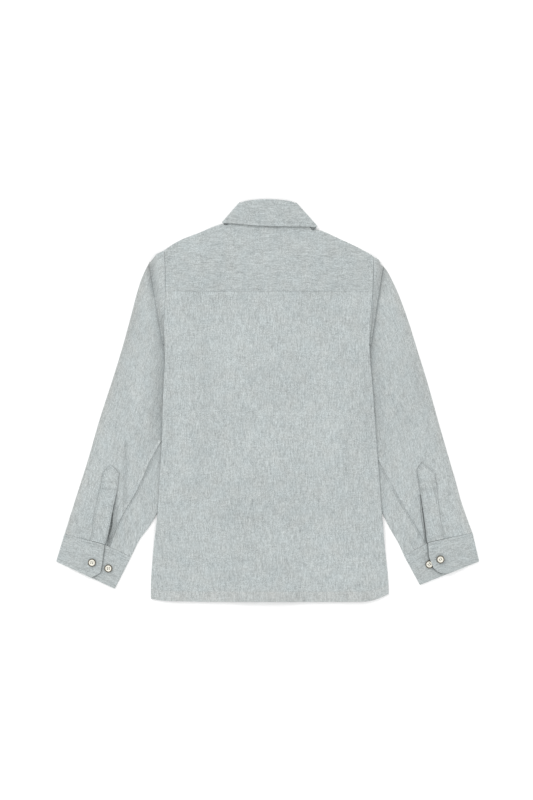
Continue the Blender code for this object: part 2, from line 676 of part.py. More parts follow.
def make_sleeve(side, rows, sign, first_fold, cuff, slit):
    """A sleeve from its armhole seam, through the two folds of its tuck, to its cuff. sign is -1 on the left.
    It gives the two edges of its slit."""
    tip = np.array((rows[0].outer_x, rows[0].outer_y))
    second = np.array((rows[0].inner_x, rows[0].inner_y))
    first = np.array(first_fold, float)
    rings = []
    plain = straight((rows[7].outer_x, rows[7].outer_y), (rows[7].inner_x, rows[7].inner_y))
    slit_start = slit_at(plain, slit, "lap_x")
    both = (slit_start - 0.005, slit_start + 0.005)

    def lying(x, y):
        return LIE + BEND + float(support(x, y))

    top_y = float(shoulder_y(body_edge(205.0, side)))

    def armhole(t):
        y = top_y + (first[1] - top_y) * np.asarray(t, float)
        return np.stack([body_edge(y, side) + sign * (GAP / 2 + 0.25), y], axis=-1)

    rings.append(sleeve_ring(armhole, lying, 0, (0, 0), *both))
    armpit = first + (sign * GAP, 0)
    halfway = (armhole(0.0) + tip) / 2 + (0, 1.0)
    rings.append(sleeve_ring(straight(halfway, armpit + (sign * 0.3, 0)), lying, 0, (0, 0), *both))

    def tuck(fold_end, towards, level, up_first):
        along = (fold_end - tip) / np.linalg.norm(fold_end - tip)
        away = np.array((along[1], -along[0]))
        away = away if away[0] * towards > 0 else -away
        for angle in np.radians((0, 45, 90, 135, 180)):
            shift = away * PITCH * np.sin(angle)
            z = level + PITCH * np.cos(angle)
            turned = angle if up_first else angle + np.pi
            edges = straight(tip + shift, fold_end + shift)
            rings.append(sleeve_ring(edges, lambda x, y: z, turned, away, *both))

    tuck(first, sign, LIE + BEND + 1.5 * TUBE, True)
    tuck(second, -sign, LIE + BEND + 0.5 * TUBE, False)
    shown = len(rings)
    knots = np.arange(len(rows))
    cut_from = None
    for place in SLEEVE_PLACES:
        ox, oy, ix, iy = (float(curve(knots, column(rows, field), place)) for field in SleeveRow._fields)
        share = max(0.0, (place - 8.5) / 2.5)
        line = straight((ox, oy), (ix, iy))
        cuff_line = straight(cuff.outer_top, cuff.inner_top)

        def edges(t):
            return line(t) + (cuff_top(cuff, t) - cuff_line(t)) * share

        out, in_ = both
        if place > 8:
            out = slit_at(edges, slit, "lap_x")
            in_ = slit_at(edges, slit, "far_x")
            if cut_from is None and in_ - out > 0.012:
                cut_from = len(rings)
            in_ = max(in_, out + 0.01)
        rings.append(sleeve_ring(edges, lambda x, y: LIE + BEND, 0, (0, 0), out, in_))
    whole = np.array(rings)
    upper = len(UPPER_OUT) + len(UPPER_IN)
    top = whole[shown:, :upper]
    top[..., 2] += air_in(top[..., 0], top[..., 1], sleeve_outline(rows))
    keep = np.ones((whole.shape[0] - 1, whole.shape[1]), bool)
    keep[cut_from:, len(UPPER_OUT) - 1] = False
    wall(f"sleeve_{side}", whole, keep, around=True)
    return whole[cut_from:, len(UPPER_OUT) - 1], whole[cut_from:, len(UPPER_OUT)]


def between(table, count):
    """A table's two lines, filled in to count rows."""
    knots = np.arange(len(table))
    at = np.concatenate([[0, 0.5], np.linspace(1, len(table) - 1, count - 2)])
    values = [np.interp(at, knots, column(table, field)) for field in table[0]._fields]
    return np.stack(values[:2], axis=1), np.stack(values[2:], axis=1)


def make_placket(side, rows, placket):
    """The pointed strip on a sleeve, over its slit's upper edge."""
    outer, inner = between(placket, 16)
    share = np.linspace(0, 1, 4)[None, :, None]
    places = outer[:, None] * (1 - share) + inner[:, None] * share
    x = places[..., 0]
    y = places[..., 1]
    wall(f"sleeve_placket_{side}", grid(x, y, sleeve_top_z(x, y, rows) + PITCH))


def make_binding(side, lap_edge, far_edge):
    """The narrow strip on a slit's far edge, level with the sleeve. It reaches towards the lap's edge."""
    across = lap_edge - far_edge
    across[:, 2] = 0
    room = np.linalg.norm(across, axis=1, keepdims=True)
    across = across / room
    wide = np.minimum(BINDING_WIDE, room - 2 * GAP - 0.5)
    share = np.linspace(0, 1, 3)[None, :, None]
    strip = (far_edge + across * GAP)[:, None] + (across * wide)[:, None] * share
    wall(f"sleeve_binding_{side}", strip)


# Cuffs


def cuff_place(cuff, t, depth):
    top = cuff_top(cuff, t)
    outer = np.array(cuff.outer_bottom)
    inner = np.array(cuff.inner_bottom)
    bottom = outer + (inner - outer) * np.asarray(t)[..., None]
    return top + (bottom - top) * np.asarray(depth)[..., None]


DEPTHS = np.array((0.0, 0.2, 0.45, 0.69, 0.765, 0.82, 0.925, 1.0))
CUFF_UPPER = np.array((1, 0.9, 0.78, 0.64, 0.5, 0.3, 0.12, 0))
CUFF_LOWER = np.array((0, 0.2, 0.4, LAP_TOP, 0.8, 1))
CUFF_UNDER = np.array((1, 0.85, 0.7, 0.55, HIDDEN_END))


def over_button(x, y, centre):
    """Height that a button under the lap adds to it."""
    away = np.hypot(x - centre[0], y - centre[1])
    return BUTTON_RISE * ease(away - BUTTON_R - 1.2, 14)


def lap_z(cuff, t, x, y, button):
    z = LIE + PITCH + PITCH * (1 - ease(t - 0.16, 0.16))
    if button is not None:
        z = z + over_button(x, y, button)
    return z


def make_cuff(name, cuff, button_below=None):
    rows = []
    end = np.interp(DEPTHS, column(cuff.lap_end, "depth"), column(cuff.lap_end, "across"))
    for depth, lap in zip(DEPTHS, end):
        outer = cuff_place(cuff, 0.0, depth)
        inner = cuff_place(cuff, 1.0, depth)
        along = (inner - outer) / np.linalg.norm(inner - outer)
        inset = EDGE / np.linalg.norm(inner - outer)

        def place(t, z):
            xy = cuff_place(cuff, inset + (1 - 2 * inset) * np.asarray(t), depth * np.ones_like(t))
            return np.column_stack([xy, z * np.ones(len(xy))])

        t = CUFF_UPPER * lap
        xy = cuff_place(cuff, inset + (1 - 2 * inset) * t, depth * np.ones_like(t))
        upper = np.column_stack([xy, lap_z(cuff, t, xy[:, 0], xy[:, 1], button_below)])
        lower = place(CUFF_LOWER, LIE)
        under = place(CUFF_UNDER, LIE + PITCH)
        flat = np.array((*along, 0))
        rise = np.array((0, 0, 1))
        first = upper[-1] - BEND * rise
        last = under[0] - BEND * rise
        turn_out = [first + BEND * (np.cos(a) * rise - np.sin(a) * flat) for a in FOLD_ANGLES]
        turn_in = [last + BEND * (-np.cos(a) * rise + np.sin(a) * flat) for a in FOLD_ANGLES]
        rows.append(np.concatenate([upper, turn_out, lower, turn_in, under]))
    return wall(name, np.array(rows), colour=CLOTH_YOKE)


# The collar


def collar_stations():
    """Every place round the collar, with the turn at each side spread over several."""
    made = []
    table = COLLAR_LEFT + COLLAR_RIGHT
    knots = np.arange(len(table))
    steps = {"front": (0, 0.5, 1, 1.5, 2, 2.5, 3, 3.6), "back": (4.35, 4.7, 5, 5.5, 6, 6.5, 7, 7.5, 8, 8.5, 9, 9.3, 9.65)}
    fields = CollarRow._fields[1:]

    def station(at, turn):
        stretch = slice(0, 5) if at <= 4 else slice(4, 11) if at <= 10 else slice(10, 15)
        values = [curve(knots[stretch], column(table, field)[stretch], at) for field in fields]
        return [turn] + [float(value) for value in values]

    for at in steps["front"]:
        made.append(station(at, 180.0))
    for turn in (180, 135, 90, 45, 0):
        made.append(station(4, float(turn)))
    for at in steps["back"]:
        made.append(station(at, 0.0))
    for turn in (0, 45, 90, 135, 180):
        made.append(station(10, float(turn)))
    for at in steps["front"][::-1]:
        made.append(station(14 - at, 180.0))
    return [CollarRow(*row) for row in made]


def lift_at_front(x, left_half):
    """How far the closed front raises the stand: its wearer's-left end lies outside the other."""
    return (PITCH if left_half else 2 * PITCH) * ease(abs(x) - 16, 16)


def ahead_of_roll(stations, k):
    """The way out past the roll: along the stand where the collar turns, and square to the roll away from there."""
    row = stations[k]
    along_stand = np.array((row.roll_x - row.neck_x, row.roll_y - row.neck_y))
    along_stand = along_stand / np.linalg.norm(along_stand)
    turns = [(other.roll_x, other.roll_y) for other in stations if other.turn == 90]
    if (row.roll_x, row.roll_y) in turns:
        return along_stand
    before = stations[max(k - 1, 0)]
    after = stations[min(k + 1, len(stations) - 1)]
    run = np.array((after.roll_x - before.roll_x, after.roll_y - before.roll_y))
    square = np.array((-run[1], run[0])) / np.linalg.norm(run)
    square = square * np.sign(square @ along_stand)
    from_turn = min(np.hypot(row.roll_x - x, row.roll_y - y) for x, y in turns)
    share = min(1.0, from_turn / TURN_REACH)
    mixed = along_stand * (1 - share) + square * share
    return mixed / np.linalg.norm(mixed)


def collar_wall(name, with_stand):
    stations = collar_stations()
    middle_z = LIE + PITCH + BEND
    grid_rows = []
    count = len(stations)
    for k, row in enumerate(stations):
        neck = np.array((row.neck_x, row.neck_y))
        roll = np.array((row.roll_x, row.roll_y))
        edge = np.array((row.edge_x, row.edge_y))
        facing = np.radians(row.turn)
        left_half = k < count / 2
        outwards = np.array((-0.8 if left_half else 0.8, 0.6)) * np.sin(facing)
        front_lift = lift_at_front(row.neck_x, left_half) if row.turn == 180 else 0.0
        stand_z = middle_z + BEND * np.cos(facing) + front_lift
        fall_z = middle_z + (BEND + PITCH) * np.cos(facing)
        middle = 1 - abs(k - (count - 1) / 2) / (count / 2)
        raised = ease(0.5 - middle, 0.5) * np.cos(facing) if row.turn < 90 else 0.0
        points = []
        if with_stand:
            reach = 0.65 + 0.27 * ease(abs(row.neck_x) - 44, 12)
            for v in (0.0, 0.35, 0.7, 1.0):
                place = neck + (roll - neck) * v * reach + outwards * BEND
                points.append((*place, stand_z + 0.3 * raised * v))
        else:
            ahead = ahead_of_roll(stations, k)
            tall = max(abs(fall_z - stand_z) / 2, BEND) + 0.25 * raised
            for angle in np.radians((0, 40, 80, 120, 160)):
                share = (1 - np.cos(angle)) / 2
                place = roll + ahead * tall * np.sin(angle) + outwards * (BEND + PITCH * share)
                z = stand_z + 0.3 * raised + (fall_z + 0.6 * raised - stand_z) * share
                points.append((*place, z))
            for v in (0.12, 0.35, 0.6, 0.82, 1.0):
                place = roll + (edge - roll) * v + outwards * (BEND + PITCH)
                points.append((*place, fall_z + raised * (0.6 + (FALL_LIFT - 0.6) * v)))
        grid_rows.append(points)
    if with_stand:
        for x, at in ((STAND_LAP, 0), (-STAND_LAP, -1)):
            left_half = at == 0
            end = [(x, p[1], middle_z - BEND + lift_at_front(x, left_half)) for p in grid_rows[at]]
            grid_rows.insert(0 if left_half else len(grid_rows), end)
    return wall(name, np.array(grid_rows, float), colour=CLOTH_YOKE)


# Buttons

RIM = ((0, 0), (0.86, 0), (1, 0.24), (1, 0.66), (0.9, 0.98), (0.74, 0.9), (0.62, 0.72), (0, 0.62))


def make_button(name, x, y, base, up=1, sides=BUTTON_SIDES):
    """A dished button: up is 1 where its face is upwards and -1 where it lies on its face."""
    vertices = []
    for radius, height in RIM:
        ring = 1 if radius == 0 else sides
        for k in range(ring):
            angle = 2 * np.pi * k / sides
            across = radius * BUTTON_R
            vertices.append(
                (x + across * np.cos(angle), y + across * np.sin(angle), base + up * height * BUTTON_HIGH)
            )
    faces = [(0, 1 + k, 1 + (k + 1) % sides) for k in range(sides)]
    last = len(vertices) - 1
    rings = len(RIM) - 2
    for r in range(rings - 1):
        a = 1 + r * sides
        for k in range(sides):
            n = (k + 1) % sides
            faces.append((a + k, a + sides + k, a + sides + n, a + n))
    a = 1 + (rings - 1) * sides
    faces += [(last, a + (k + 1) % sides, a + k) for k in range(sides)]
    return add_object(name, vertices, faces, BUTTON_COLOUR, roughness=0.35)


CuffButton = namedtuple("CuffButton", "side number x y")
CUFF_BUTTONS = (
    CuffButton("left", 1, -245.8, -226.9),
    CuffButton("left", 2, -222.9, -235.1),
    CuffButton("right", 1, 241.9, -222.3),
    CuffButton("right", 2, 226.6, -229.5),
)


def make_buttons():
    lap_face = LIE + 2 * PITCH + HALF
    under_face = LIE + PITCH + HALF
    for button in CUFF_BUTTONS:
        face = lap_face if button.number == 1 else under_face
        if button.side == "right" and button.number == 1:
            hidden = CUFF_BUTTONS[3]
            face += float(over_button(button.x - BUTTON_R, button.y, (hidden.x, hidden.y)))
        name = f"cuff_button_{button.side}_{button.number}"
        make_button(name, button.x, button.y, face + GAP)
    for number, y in enumerate(front_button_ys(), 1):
        below_placket = float(front_z(0.0, y, 0)) - HALF - GAP
        make_button(f"front_button_{number}", 0, y, below_placket, up=-1, sides=12)
    make_button("collar_button", 0, NECK_BUTTON_Y, LIE + 2 * PITCH - HALF - GAP, up=-1, sides=12)


def main():
    for old in list(bpy.data.objects):
        bpy.data.objects.remove(old, do_unlink=True)
    make_back()
    make_yoke()
    make_front("front_left", -1, 1)
    make_front("front_right", 1, 2)
    make_front_placket()
    make_binding("left", *make_sleeve("left", LEFT_ROWS, -1, FIRST_FOLD_LEFT, CUFF_LEFT, SLIT_LEFT))
    make_binding("right", *make_sleeve("right", RIGHT_ROWS, 1, FIRST_FOLD_RIGHT, CUFF_RIGHT, SLIT_RIGHT))
    make_placket("left", LEFT_ROWS, PLACKET_LEFT)
    make_placket("right", RIGHT_ROWS, PLACKET_RIGHT)
    make_cuff("cuff_left", CUFF_LEFT)
    make_cuff("cuff_right", CUFF_RIGHT, button_below=(CUFF_BUTTONS[3].x, CUFF_BUTTONS[3].y))
    collar_wall("collar_stand", with_stand=True)
    collar_wall("collar_fall", with_stand=False)
    make_buttons()


main()
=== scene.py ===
"""A child's long-sleeved shirt in slubbed grey-sage shirting, laid flat on its front.

Sizes are in millimetres until a mesh is made. X runs towards the wearer's right, Y towards the collar and Z up from
the surface. Each piece of cloth is a thin shell round the middle of its solid, on a much finer grid, with its
creases, puckered seams and stitches added.
"""

from collections import namedtuple

import bmesh
import bpy
import numpy as np
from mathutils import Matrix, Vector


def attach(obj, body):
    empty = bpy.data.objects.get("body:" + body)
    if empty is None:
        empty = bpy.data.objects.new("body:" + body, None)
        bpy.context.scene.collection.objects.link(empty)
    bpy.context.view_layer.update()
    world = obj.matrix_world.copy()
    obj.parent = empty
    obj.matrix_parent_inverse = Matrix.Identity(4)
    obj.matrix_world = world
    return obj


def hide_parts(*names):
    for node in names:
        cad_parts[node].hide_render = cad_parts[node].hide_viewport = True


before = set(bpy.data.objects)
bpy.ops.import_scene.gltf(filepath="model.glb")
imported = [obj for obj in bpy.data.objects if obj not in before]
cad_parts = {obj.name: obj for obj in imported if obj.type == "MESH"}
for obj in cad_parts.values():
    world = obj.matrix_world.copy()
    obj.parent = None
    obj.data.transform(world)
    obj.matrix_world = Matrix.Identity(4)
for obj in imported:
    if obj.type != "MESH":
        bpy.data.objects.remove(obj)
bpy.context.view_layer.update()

MM = 0.001

# How cloth stacks, as in the solids
PITCH = 1.4
BEND = PITCH / 2
EDGE = BEND + 0.55
LIE = 0.55
GAP = 0.3
TUBE = 2 * PITCH
THICK = 0.6
STIFF_THICK = 0.95
KEEP_LEVEL = 9.0
SLOPE = 26.0

# Buttons and the closed front
BUTTON_R = 5.6
BUTTON_HIGH = 2.2
BUTTON_RISE = BUTTON_HIGH + GAP
PLACKET_WIDE = 25.0
FRONT_BUTTON_YS = [172.0 - 63.0 * k for k in range(7)]
NECK_BUTTON_Y = 212.5
SIDE_SEAM_IN = 9.0

# The yoke
YOKE_SEAM_Y = 152.9
YOKE_STEP = 0.45
YOKE_OVER = 18.0
YOKE_NECK_LEFT = -60.3
YOKE_NECK_RIGHT = 65.5
ARMPIT_Y = 78.0

AIR = 1.8
SLEEVE_AIR = 3.0
FOLD_SINK = 0.42
SEAM_WIDE = 6.5
SEAM_HIGH = 1.15
HEM_BAND = 14.5
FELLED = 6.5

# The body's two edges at each height
BodyRow = namedtuple("BodyRow", "y left right")
BODY_ROWS = (
    BodyRow(-283.0, -163.4, 170.2),
    BodyRow(-256.9, -163.2, 168.9),
    BodyRow(-216.0, -160.3, 164.8),
    BodyRow(-167.3, -155.0, 160.8),
    BodyRow(-97.3, -150.5, 155.7),
    BodyRow(-51.1, -148.1, 152.3),
    BodyRow(-6.3, -147.0, 149.2),
    BodyRow(28.7, -145.4, 146.6),
    BodyRow(63.7, -143.8, 143.4),
    BodyRow(98.7, -144.6, 142.6),
    BodyRow(130.0, -143.4, 145.2),
    BodyRow(152.9, -142.9, 146.8),
    BodyRow(175.0, -142.9, 147.8),
    BodyRow(212.0, -144.9, 148.9),
)
HemRow = namedtuple("HemRow", "x y")
HEM_ROWS = (
    HemRow(-164.0, -277.6),
    HemRow(-150.0, -280.0),
    HemRow(-110.0, -281.4),
    HemRow(0.0, -282.0),
    HemRow(125.0, -282.0),
    HemRow(146.0, -280.2),
    HemRow(158.0, -276.6),
    HemRow(170.0, -270.6),
)
ShoulderRow = namedtuple("ShoulderRow", "x y")
SHOULDER_ROWS = (
    ShoulderRow(-164.5, 195.3),
    ShoulderRow(-150.5, 205.4),
    ShoulderRow(-136.5, 216.4),
    ShoulderRow(-122.5, 224.6),
    ShoulderRow(-94.5, 235.8),
    ShoulderRow(-66.5, 246.6),
    ShoulderRow(-60.0, 247.3),
    ShoulderRow(65.0, 239.8),
    ShoulderRow(73.5, 238.4),
    ShoulderRow(101.5, 226.4),
    ShoulderRow(129.5, 213.2),
    ShoulderRow(143.5, 205.0),
    ShoulderRow(160.3, 190.2),
)

# Each sleeve from the second tuck to the cuff
SleeveRow = namedtuple("SleeveRow", "outer_x outer_y inner_x inner_y")
LEFT_ROWS = (
    SleeveRow(-164.5, 195.3, -112.7, 79.1),
    SleeveRow(-169.9, 185.5, -108.5, 53.9),
    SleeveRow(-177.2, 168.7, -104.3, 21.7),
    SleeveRow(-184.1, 146.3, -102.2, -13.3),
    SleeveRow(-192.8, 112.7, -105.7, -48.3),
    SleeveRow(-205.2, 67.9, -115.5, -80.5),
    SleeveRow(-219.2, 23.1, -129.5, -111.3),
    SleeveRow(-235.5, -27.3, -143.5, -139.3),
    SleeveRow(-250.0, -77.7, -156.1, -161.0),
    SleeveRow(-260.5, -111.3, -166.7, -178.5),
    SleeveRow(-271.3, -144.9, -179.2, -195.3),
    SleeveRow(-284.3, -186.5, -190.9, -218.6),
)
RIGHT_ROWS = (
    SleeveRow(160.3, 190.2, 111.3, 77.7),
    SleeveRow(167.3, 182.0, 107.1, 52.5),
    SleeveRow(177.1, 163.1, 102.9, 18.9),
    SleeveRow(184.5, 146.3, 100.8, -16.1),
    SleeveRow(196.8, 112.7, 104.3, -51.1),
    SleeveRow(210.8, 67.9, 114.1, -83.3),
    SleeveRow(224.7, 23.1, 129.5, -112.7),
    SleeveRow(238.7, -27.3, 145.6, -139.3),
    SleeveRow(253.3, -77.7, 159.6, -156.8),
    SleeveRow(263.2, -111.3, 172.2, -180.6),
    SleeveRow(272.6, -144.9, 183.4, -199.9),
    SleeveRow(287.1, -185.0, 191.3, -217.2),
)
FIRST_FOLD = {"left": (-144.2, 78.5), "right": (142.8, 78.0)}
SLEEVES = {"left": LEFT_ROWS, "right": RIGHT_ROWS}
SIGN = {"left": -1, "right": 1}

# Cuffs: corners, where the upper lap starts at the top, and where it ends at each depth
Cuff = namedtuple("Cuff", "outer_top lap_top inner_top outer_bottom inner_bottom lap_end")
LapRow = namedtuple("LapRow", "depth across")
LAP_TOP = 0.61
HIDDEN_END = 0.40
LAP_LIFT = {"left": 0.9, "right": 1.3}
LAP_SHADE = {"left": 0.35, "right": 0.55}
CUFFS = {
    "left": Cuff(
        (-284.5, -187.0),
        (-228.1, -201.9),
        (-191.1, -219.1),
        (-296.0, -225.3),
        (-213.9, -263.6),
        (LapRow(0.0, 0.61), LapRow(0.45, 0.67), LapRow(0.765, 0.707), LapRow(1.0, 0.60)),
    ),
    "right": Cuff(
        (287.3, -185.5),
        (224.6, -199.1),
        (191.5, -217.7),
        (296.5, -225.4),
        (213.6, -258.3),
        (
            LapRow(0.0, 0.61),
            LapRow(0.36, 0.69),
            LapRow(0.69, 0.70),
            LapRow(0.82, 0.67),
            LapRow(0.925, 0.615),
            LapRow(1.0, 0.52),
        ),
    ),
}
CuffButton = namedtuple("CuffButton", "side number x y")
CUFF_BUTTONS = (
    CuffButton("left", 1, -245.8, -226.9),
    CuffButton("left", 2, -222.9, -235.1),
    CuffButton("right", 1, 241.9, -222.3),
    CuffButton("right", 2, 226.6, -229.5),
)

# Sleeve plackets and slits
PlacketRow = namedtuple("PlacketRow", "outer_x outer_y inner_x inner_y")
PLACKETS = {
    "left": (
        PlacketRow(-219.7, -90.4, -218.1, -90.4),
        PlacketRow(-230.7, -101.2, -207.6, -101.2),
        PlacketRow(-233.5, -122.1, -209.6, -122.1),
        PlacketRow(-242.3, -157.2, -217.0, -157.2),
        PlacketRow(-245.6, -190.3, -223.0, -188.0),
        PlacketRow(-248.4, -195.8, -227.2, -201.3),
    ),
    "right": (
        PlacketRow(214.6, -86.6, 216.2, -86.6),
        PlacketRow(234.2, -102.3, 208.9, -96.7),
        PlacketRow(236.6, -122.1, 212.8, -122.1),
        PlacketRow(241.0, -162.8, 218.8, -162.8),
        PlacketRow(246.4, -190.3, 222.0, -190.3),
        PlacketRow(247.2, -193.6, 223.4, -198.6),
    ),
}
SlitRow = namedtuple("SlitRow", "y lap_x far_x")
SLITS = {
    "left": (
        SlitRow(-128.7, -211.6, -210.6),
        SlitRow(-155.0, -217.2, -209.8),
        SlitRow(-179.3, -222.4, -211.0),
        SlitRow(-206.0, -227.8, -221.6),
    ),
    "right": (
        SlitRow(-128.7, 213.6, 212.6),
        SlitRow(-155.0, 217.6, 213.8),
        SlitRow(-179.3, 221.0, 217.2),
        SlitRow(-206.0, 224.4, 220.6),
    ),
}
BINDING_WIDE = 7.4

# The line of each sleeve's long seam, and how far its second row of stitches lies from it
SEAM_LINES = {
    "left": ((-148.8, -56.7), (-164.8, -85.8), (-183.0, -126.4), (-200.5, -156.1), (-211.5, -179.3), (-221.3, -205.7)),
    "right": ((154.0, -81.5), (171.5, -113.3), (185.8, -139.7), (198.0, -160.6), (210.0, -180.3), (219.9, -199.1)),
}
SECOND_LINES = {
    "left": ((-152.0, -126.0), (-169.8, -156.8), (-192.5, -188.3), (-206.1, -207.5)),
    "right": ((157.0, -121.0), (176.0, -150.0), (196.0, -184.0), (207.0, -207.0)),
}

# The collar, from the middle of the front round one side to the middle of the back
CollarRow = namedtuple("CollarRow", "turn neck_x neck_y roll_x roll_y edge_x edge_y")
COLLAR = (
    CollarRow(180, -2.0, 200.0, -2.2, 223.5, -44.0, 167.0),
    CollarRow(180, -22.0, 203.0, -13.0, 231.0, -50.0, 187.0),
    CollarRow(180, -42.0, 214.0, -26.0, 244.0, -56.0, 207.0),
    CollarRow(180, -53.5, 230.0, -36.0, 258.0, -60.5, 229.0),
    CollarRow(90, -57.6, 242.0, -38.0, 275.5, -61.6, 248.0),
    CollarRow(0, -45.0, 246.0, -30.5, 277.8, -47.0, 247.6),
    CollarRow(0, -24.0, 248.6, -19.0, 279.6, -23.0, 245.4),
    CollarRow(0, 1.0, 249.6, 0.0, 280.6, 1.0, 244.2),
    CollarRow(0, 25.0, 248.6, 19.0, 279.5, 28.0, 243.6),
    CollarRow(0, 48.0, 243.0, 32.0, 277.6, 52.0, 243.4),
    CollarRow(90, 62.4, 236.4, 39.0, 275.0, 68.0, 242.6),
    CollarRow(180, 57.0, 225.0, 40.0, 251.0, 64.0, 222.0),
    CollarRow(180, 43.0, 212.0, 28.0, 240.0, 57.0, 203.0),
    CollarRow(180, 22.0, 203.0, 14.0, 230.0, 50.5, 185.0),
    CollarRow(180, 2.0, 200.0, 2.2, 223.5, 44.0, 167.0),
)
STAND_LAP = 13.0
FALL_LIFT = 1.6
TURN_REACH = 8.0
EDGE_STITCH = 6.0
FALLS_OUTLINE = ((-66, 251), (-46, 164), (46, 164), (73, 243), (40, 272), (-40, 276))

# Soft folds pressed into what shows: from one end to the other, how wide and how high
Crease = namedtuple("Crease", "x1 y1 x2 y2 wide high")
BODY_CREASES = (
    Crease(47.0, 150.0, 45.0, 118.0, 6.0, 0.5),
    Crease(126.0, 140.0, 112.0, 96.0, 9.0, 0.6),
    Crease(-118.0, 146.0, -112.0, 70.0, 12.0, 0.6),
    Crease(110.0, -44.0, 114.0, -112.0, 10.0, 0.5),
    Crease(-70.0, -158.0, 60.0, -166.0, 14.0, 0.5),
    Crease(-60.0, 60.0, -66.0, -70.0, 22.0, 0.5),
)
SLEEVE_CREASES = (
    Crease(-196.0, -56.0, -199.0, -148.0, 8.0, -0.6),
    Crease(-186.0, 120.0, -214.0, -10.0, 9.0, 0.6),
    Crease(-172.0, 60.0, -190.0, -60.0, 9.0, 0.5),
    Crease(206.0, 50.0, 224.0, -32.0, 8.0, -0.6),
    Crease(180.0, 110.0, 192.0, 10.0, 10.0, 0.6),
    Crease(196.0, -50.0, 206.0, -150.0, 9.0, 0.5),
)


# Shapes on paper


def column(table, name):
    return np.array([getattr(row, name) for row in table], float)


def curve(places, values, at):
    """A smooth curve through a table that never swings past its own values."""
    places = np.asarray(places, float)
    values = np.asarray(values, float)
    steps = np.diff(places)
    slopes = np.diff(values) / steps
    tangents = np.concatenate([slopes[:1], (slopes[1:] + slopes[:-1]) / 2, slopes[-1:]])
    turning = slopes[1:] * slopes[:-1] <= 0
    tangents[1:-1][turning] = 0
    at = np.clip(at, places[0], places[-1])
    k = np.clip(np.searchsorted(places, at) - 1, 0, len(steps) - 1)
    u = (at - places[k]) / steps[k]
    start = values[k] * (1 + 2 * u) * (1 - u) ** 2 + tangents[k] * steps[k] * u * (1 - u) ** 2
    end = values[k + 1] * u * u * (3 - 2 * u) - tangents[k + 1] * steps[k] * u * u * (1 - u)
    return start + end


def ease(distance, reach):
    """1 up to a distance of 0, then a soft fall to 0 at reach."""
    u = np.clip(distance / reach, 0, 1)
    return 1 - u * u * (3 - 2 * u)


def line_distance(x, y, line, closed=False):
    """Distance of each place from a line of points."""
    x, y = np.broadcast_arrays(np.asarray(x, float), np.asarray(y, float))
    points = np.asarray(line, float)
    ends = np.roll(points, -1, axis=0) if closed else points[1:]
    nearest = np.full(x.shape, np.inf)
    for (ax, ay), (bx, by) in zip(points, ends):
        run = ((x - ax) * (bx - ax) + (y - ay) * (by - ay)) / ((bx - ax) ** 2 + (by - ay) ** 2)
        run = np.clip(run, 0, 1)
        nearest = np.minimum(nearest, np.hypot(x - ax - run * (bx - ax), y - ay - run * (by - ay)))
    return nearest


def outside(x, y, outline):
    """How far each place lies outside a closed outline, and 0 within it."""
    x, y = np.broadcast_arrays(np.asarray(x, float), np.asarray(y, float))
    within = np.zeros(x.shape, bool)
    for (ax, ay), (bx, by) in zip(outline, np.roll(outline, -1, axis=0)):
        crosses = (ay > y) != (by > y)
        rise = by - ay if by != ay else 1.0
        within ^= crosses & (x < (bx - ax) * (y - ay) / rise + ax)
    return np.where(within, 0, line_distance(x, y, outline, closed=True))


def crease_height(x, y, creases):
    total = np.zeros(np.shape(x))
    for crease in creases:
        away = line_distance(x, y, ((crease.x1, crease.y1), (crease.x2, crease.y2)))
        total = total + crease.high * np.exp(-((away / crease.wide) ** 2))
    return total


def ripples(x, y, seed, size, high, lean=np.pi):
    """Low uneven waves about size across. lean is how far their crests may turn from the Y direction."""
    rng = np.random.default_rng(seed)
    total = 0
    for _ in range(7):
        angle = rng.uniform(-lean, lean)
        length = size * rng.uniform(0.6, 1.7)
        total = total + np.sin((x * np.cos(angle) + y * np.sin(angle)) * 2 * np.pi / length + rng.uniform(0, 6.3))
    return high * total / 7**0.5


def pucker(along, away, seed, reach=7.0, high=0.16):
    """The small uneven pull of a row of stitches on the cloth beside it."""
    rng = np.random.default_rng(seed)
    wave = 0
    for _ in range(4):
        wave = wave + np.sin(along * 2 * np.pi / rng.uniform(5, 14) + rng.uniform(0, 6.3))
    return high * 0.5 * wave * np.exp(-((away / reach) ** 2))


def groove(away, deep=0.22, wide=0.9):
    return -deep * np.exp(-((away / wide) ** 2))


# The body's outline and what lifts it


def body_edge(y, name):
    return curve(column(BODY_ROWS, "y"), column(BODY_ROWS, name), y)


def hem_y(x):
    return curve(column(HEM_ROWS, "x"), column(HEM_ROWS, "y"), x)


def shoulder_y(x):
    return curve(column(SHOULDER_ROWS, "x"), column(SHOULDER_ROWS, "y"), x)


def neck_y(x, facing):
    rows = sorted((row for row in COLLAR if row.turn in (facing, 90)), key=lambda row: row.neck_x)
    return curve(column(rows, "neck_x"), column(rows, "neck_y"), x)


def fall_edge_y(x):
    rows = sorted((row for row in COLLAR if row.turn in (0, 90)), key=lambda row: row.edge_x)
    return curve(column(rows, "edge_x"), column(rows, "edge_y"), x)


def neck_edge(x):
    """Top edge of the fronts and the placket, just below the stand."""
    return np.where(abs(x) < 17, neck_y(0.0, 180), neck_y(x, 180) - 0.8) - GAP - 0.2


def sleeve_outline(rows):
    outer = [(row.outer_x, row.outer_y) for row in rows]
    inner = [(row.inner_x, row.inner_y) for row in rows]
    return np.array(outer + inner[::-1])


def tuck_outline(side):
    rows = SLEEVES[side]
    return np.array([(rows[0].outer_x, rows[0].outer_y), (rows[0].inner_x, rows[0].inner_y), FIRST_FOLD[side]])


def body_outline():
    y = column(BODY_ROWS, "y")
    left = np.stack([column(BODY_ROWS, "left"), y], axis=1)
    right = np.stack([column(BODY_ROWS, "right"), y], axis=1)
    return np.concatenate([left, right[::-1]])


UNDER_BODY = (sleeve_outline(LEFT_ROWS), sleeve_outline(RIGHT_ROWS), tuck_outline("left"), tuck_outline("right"))


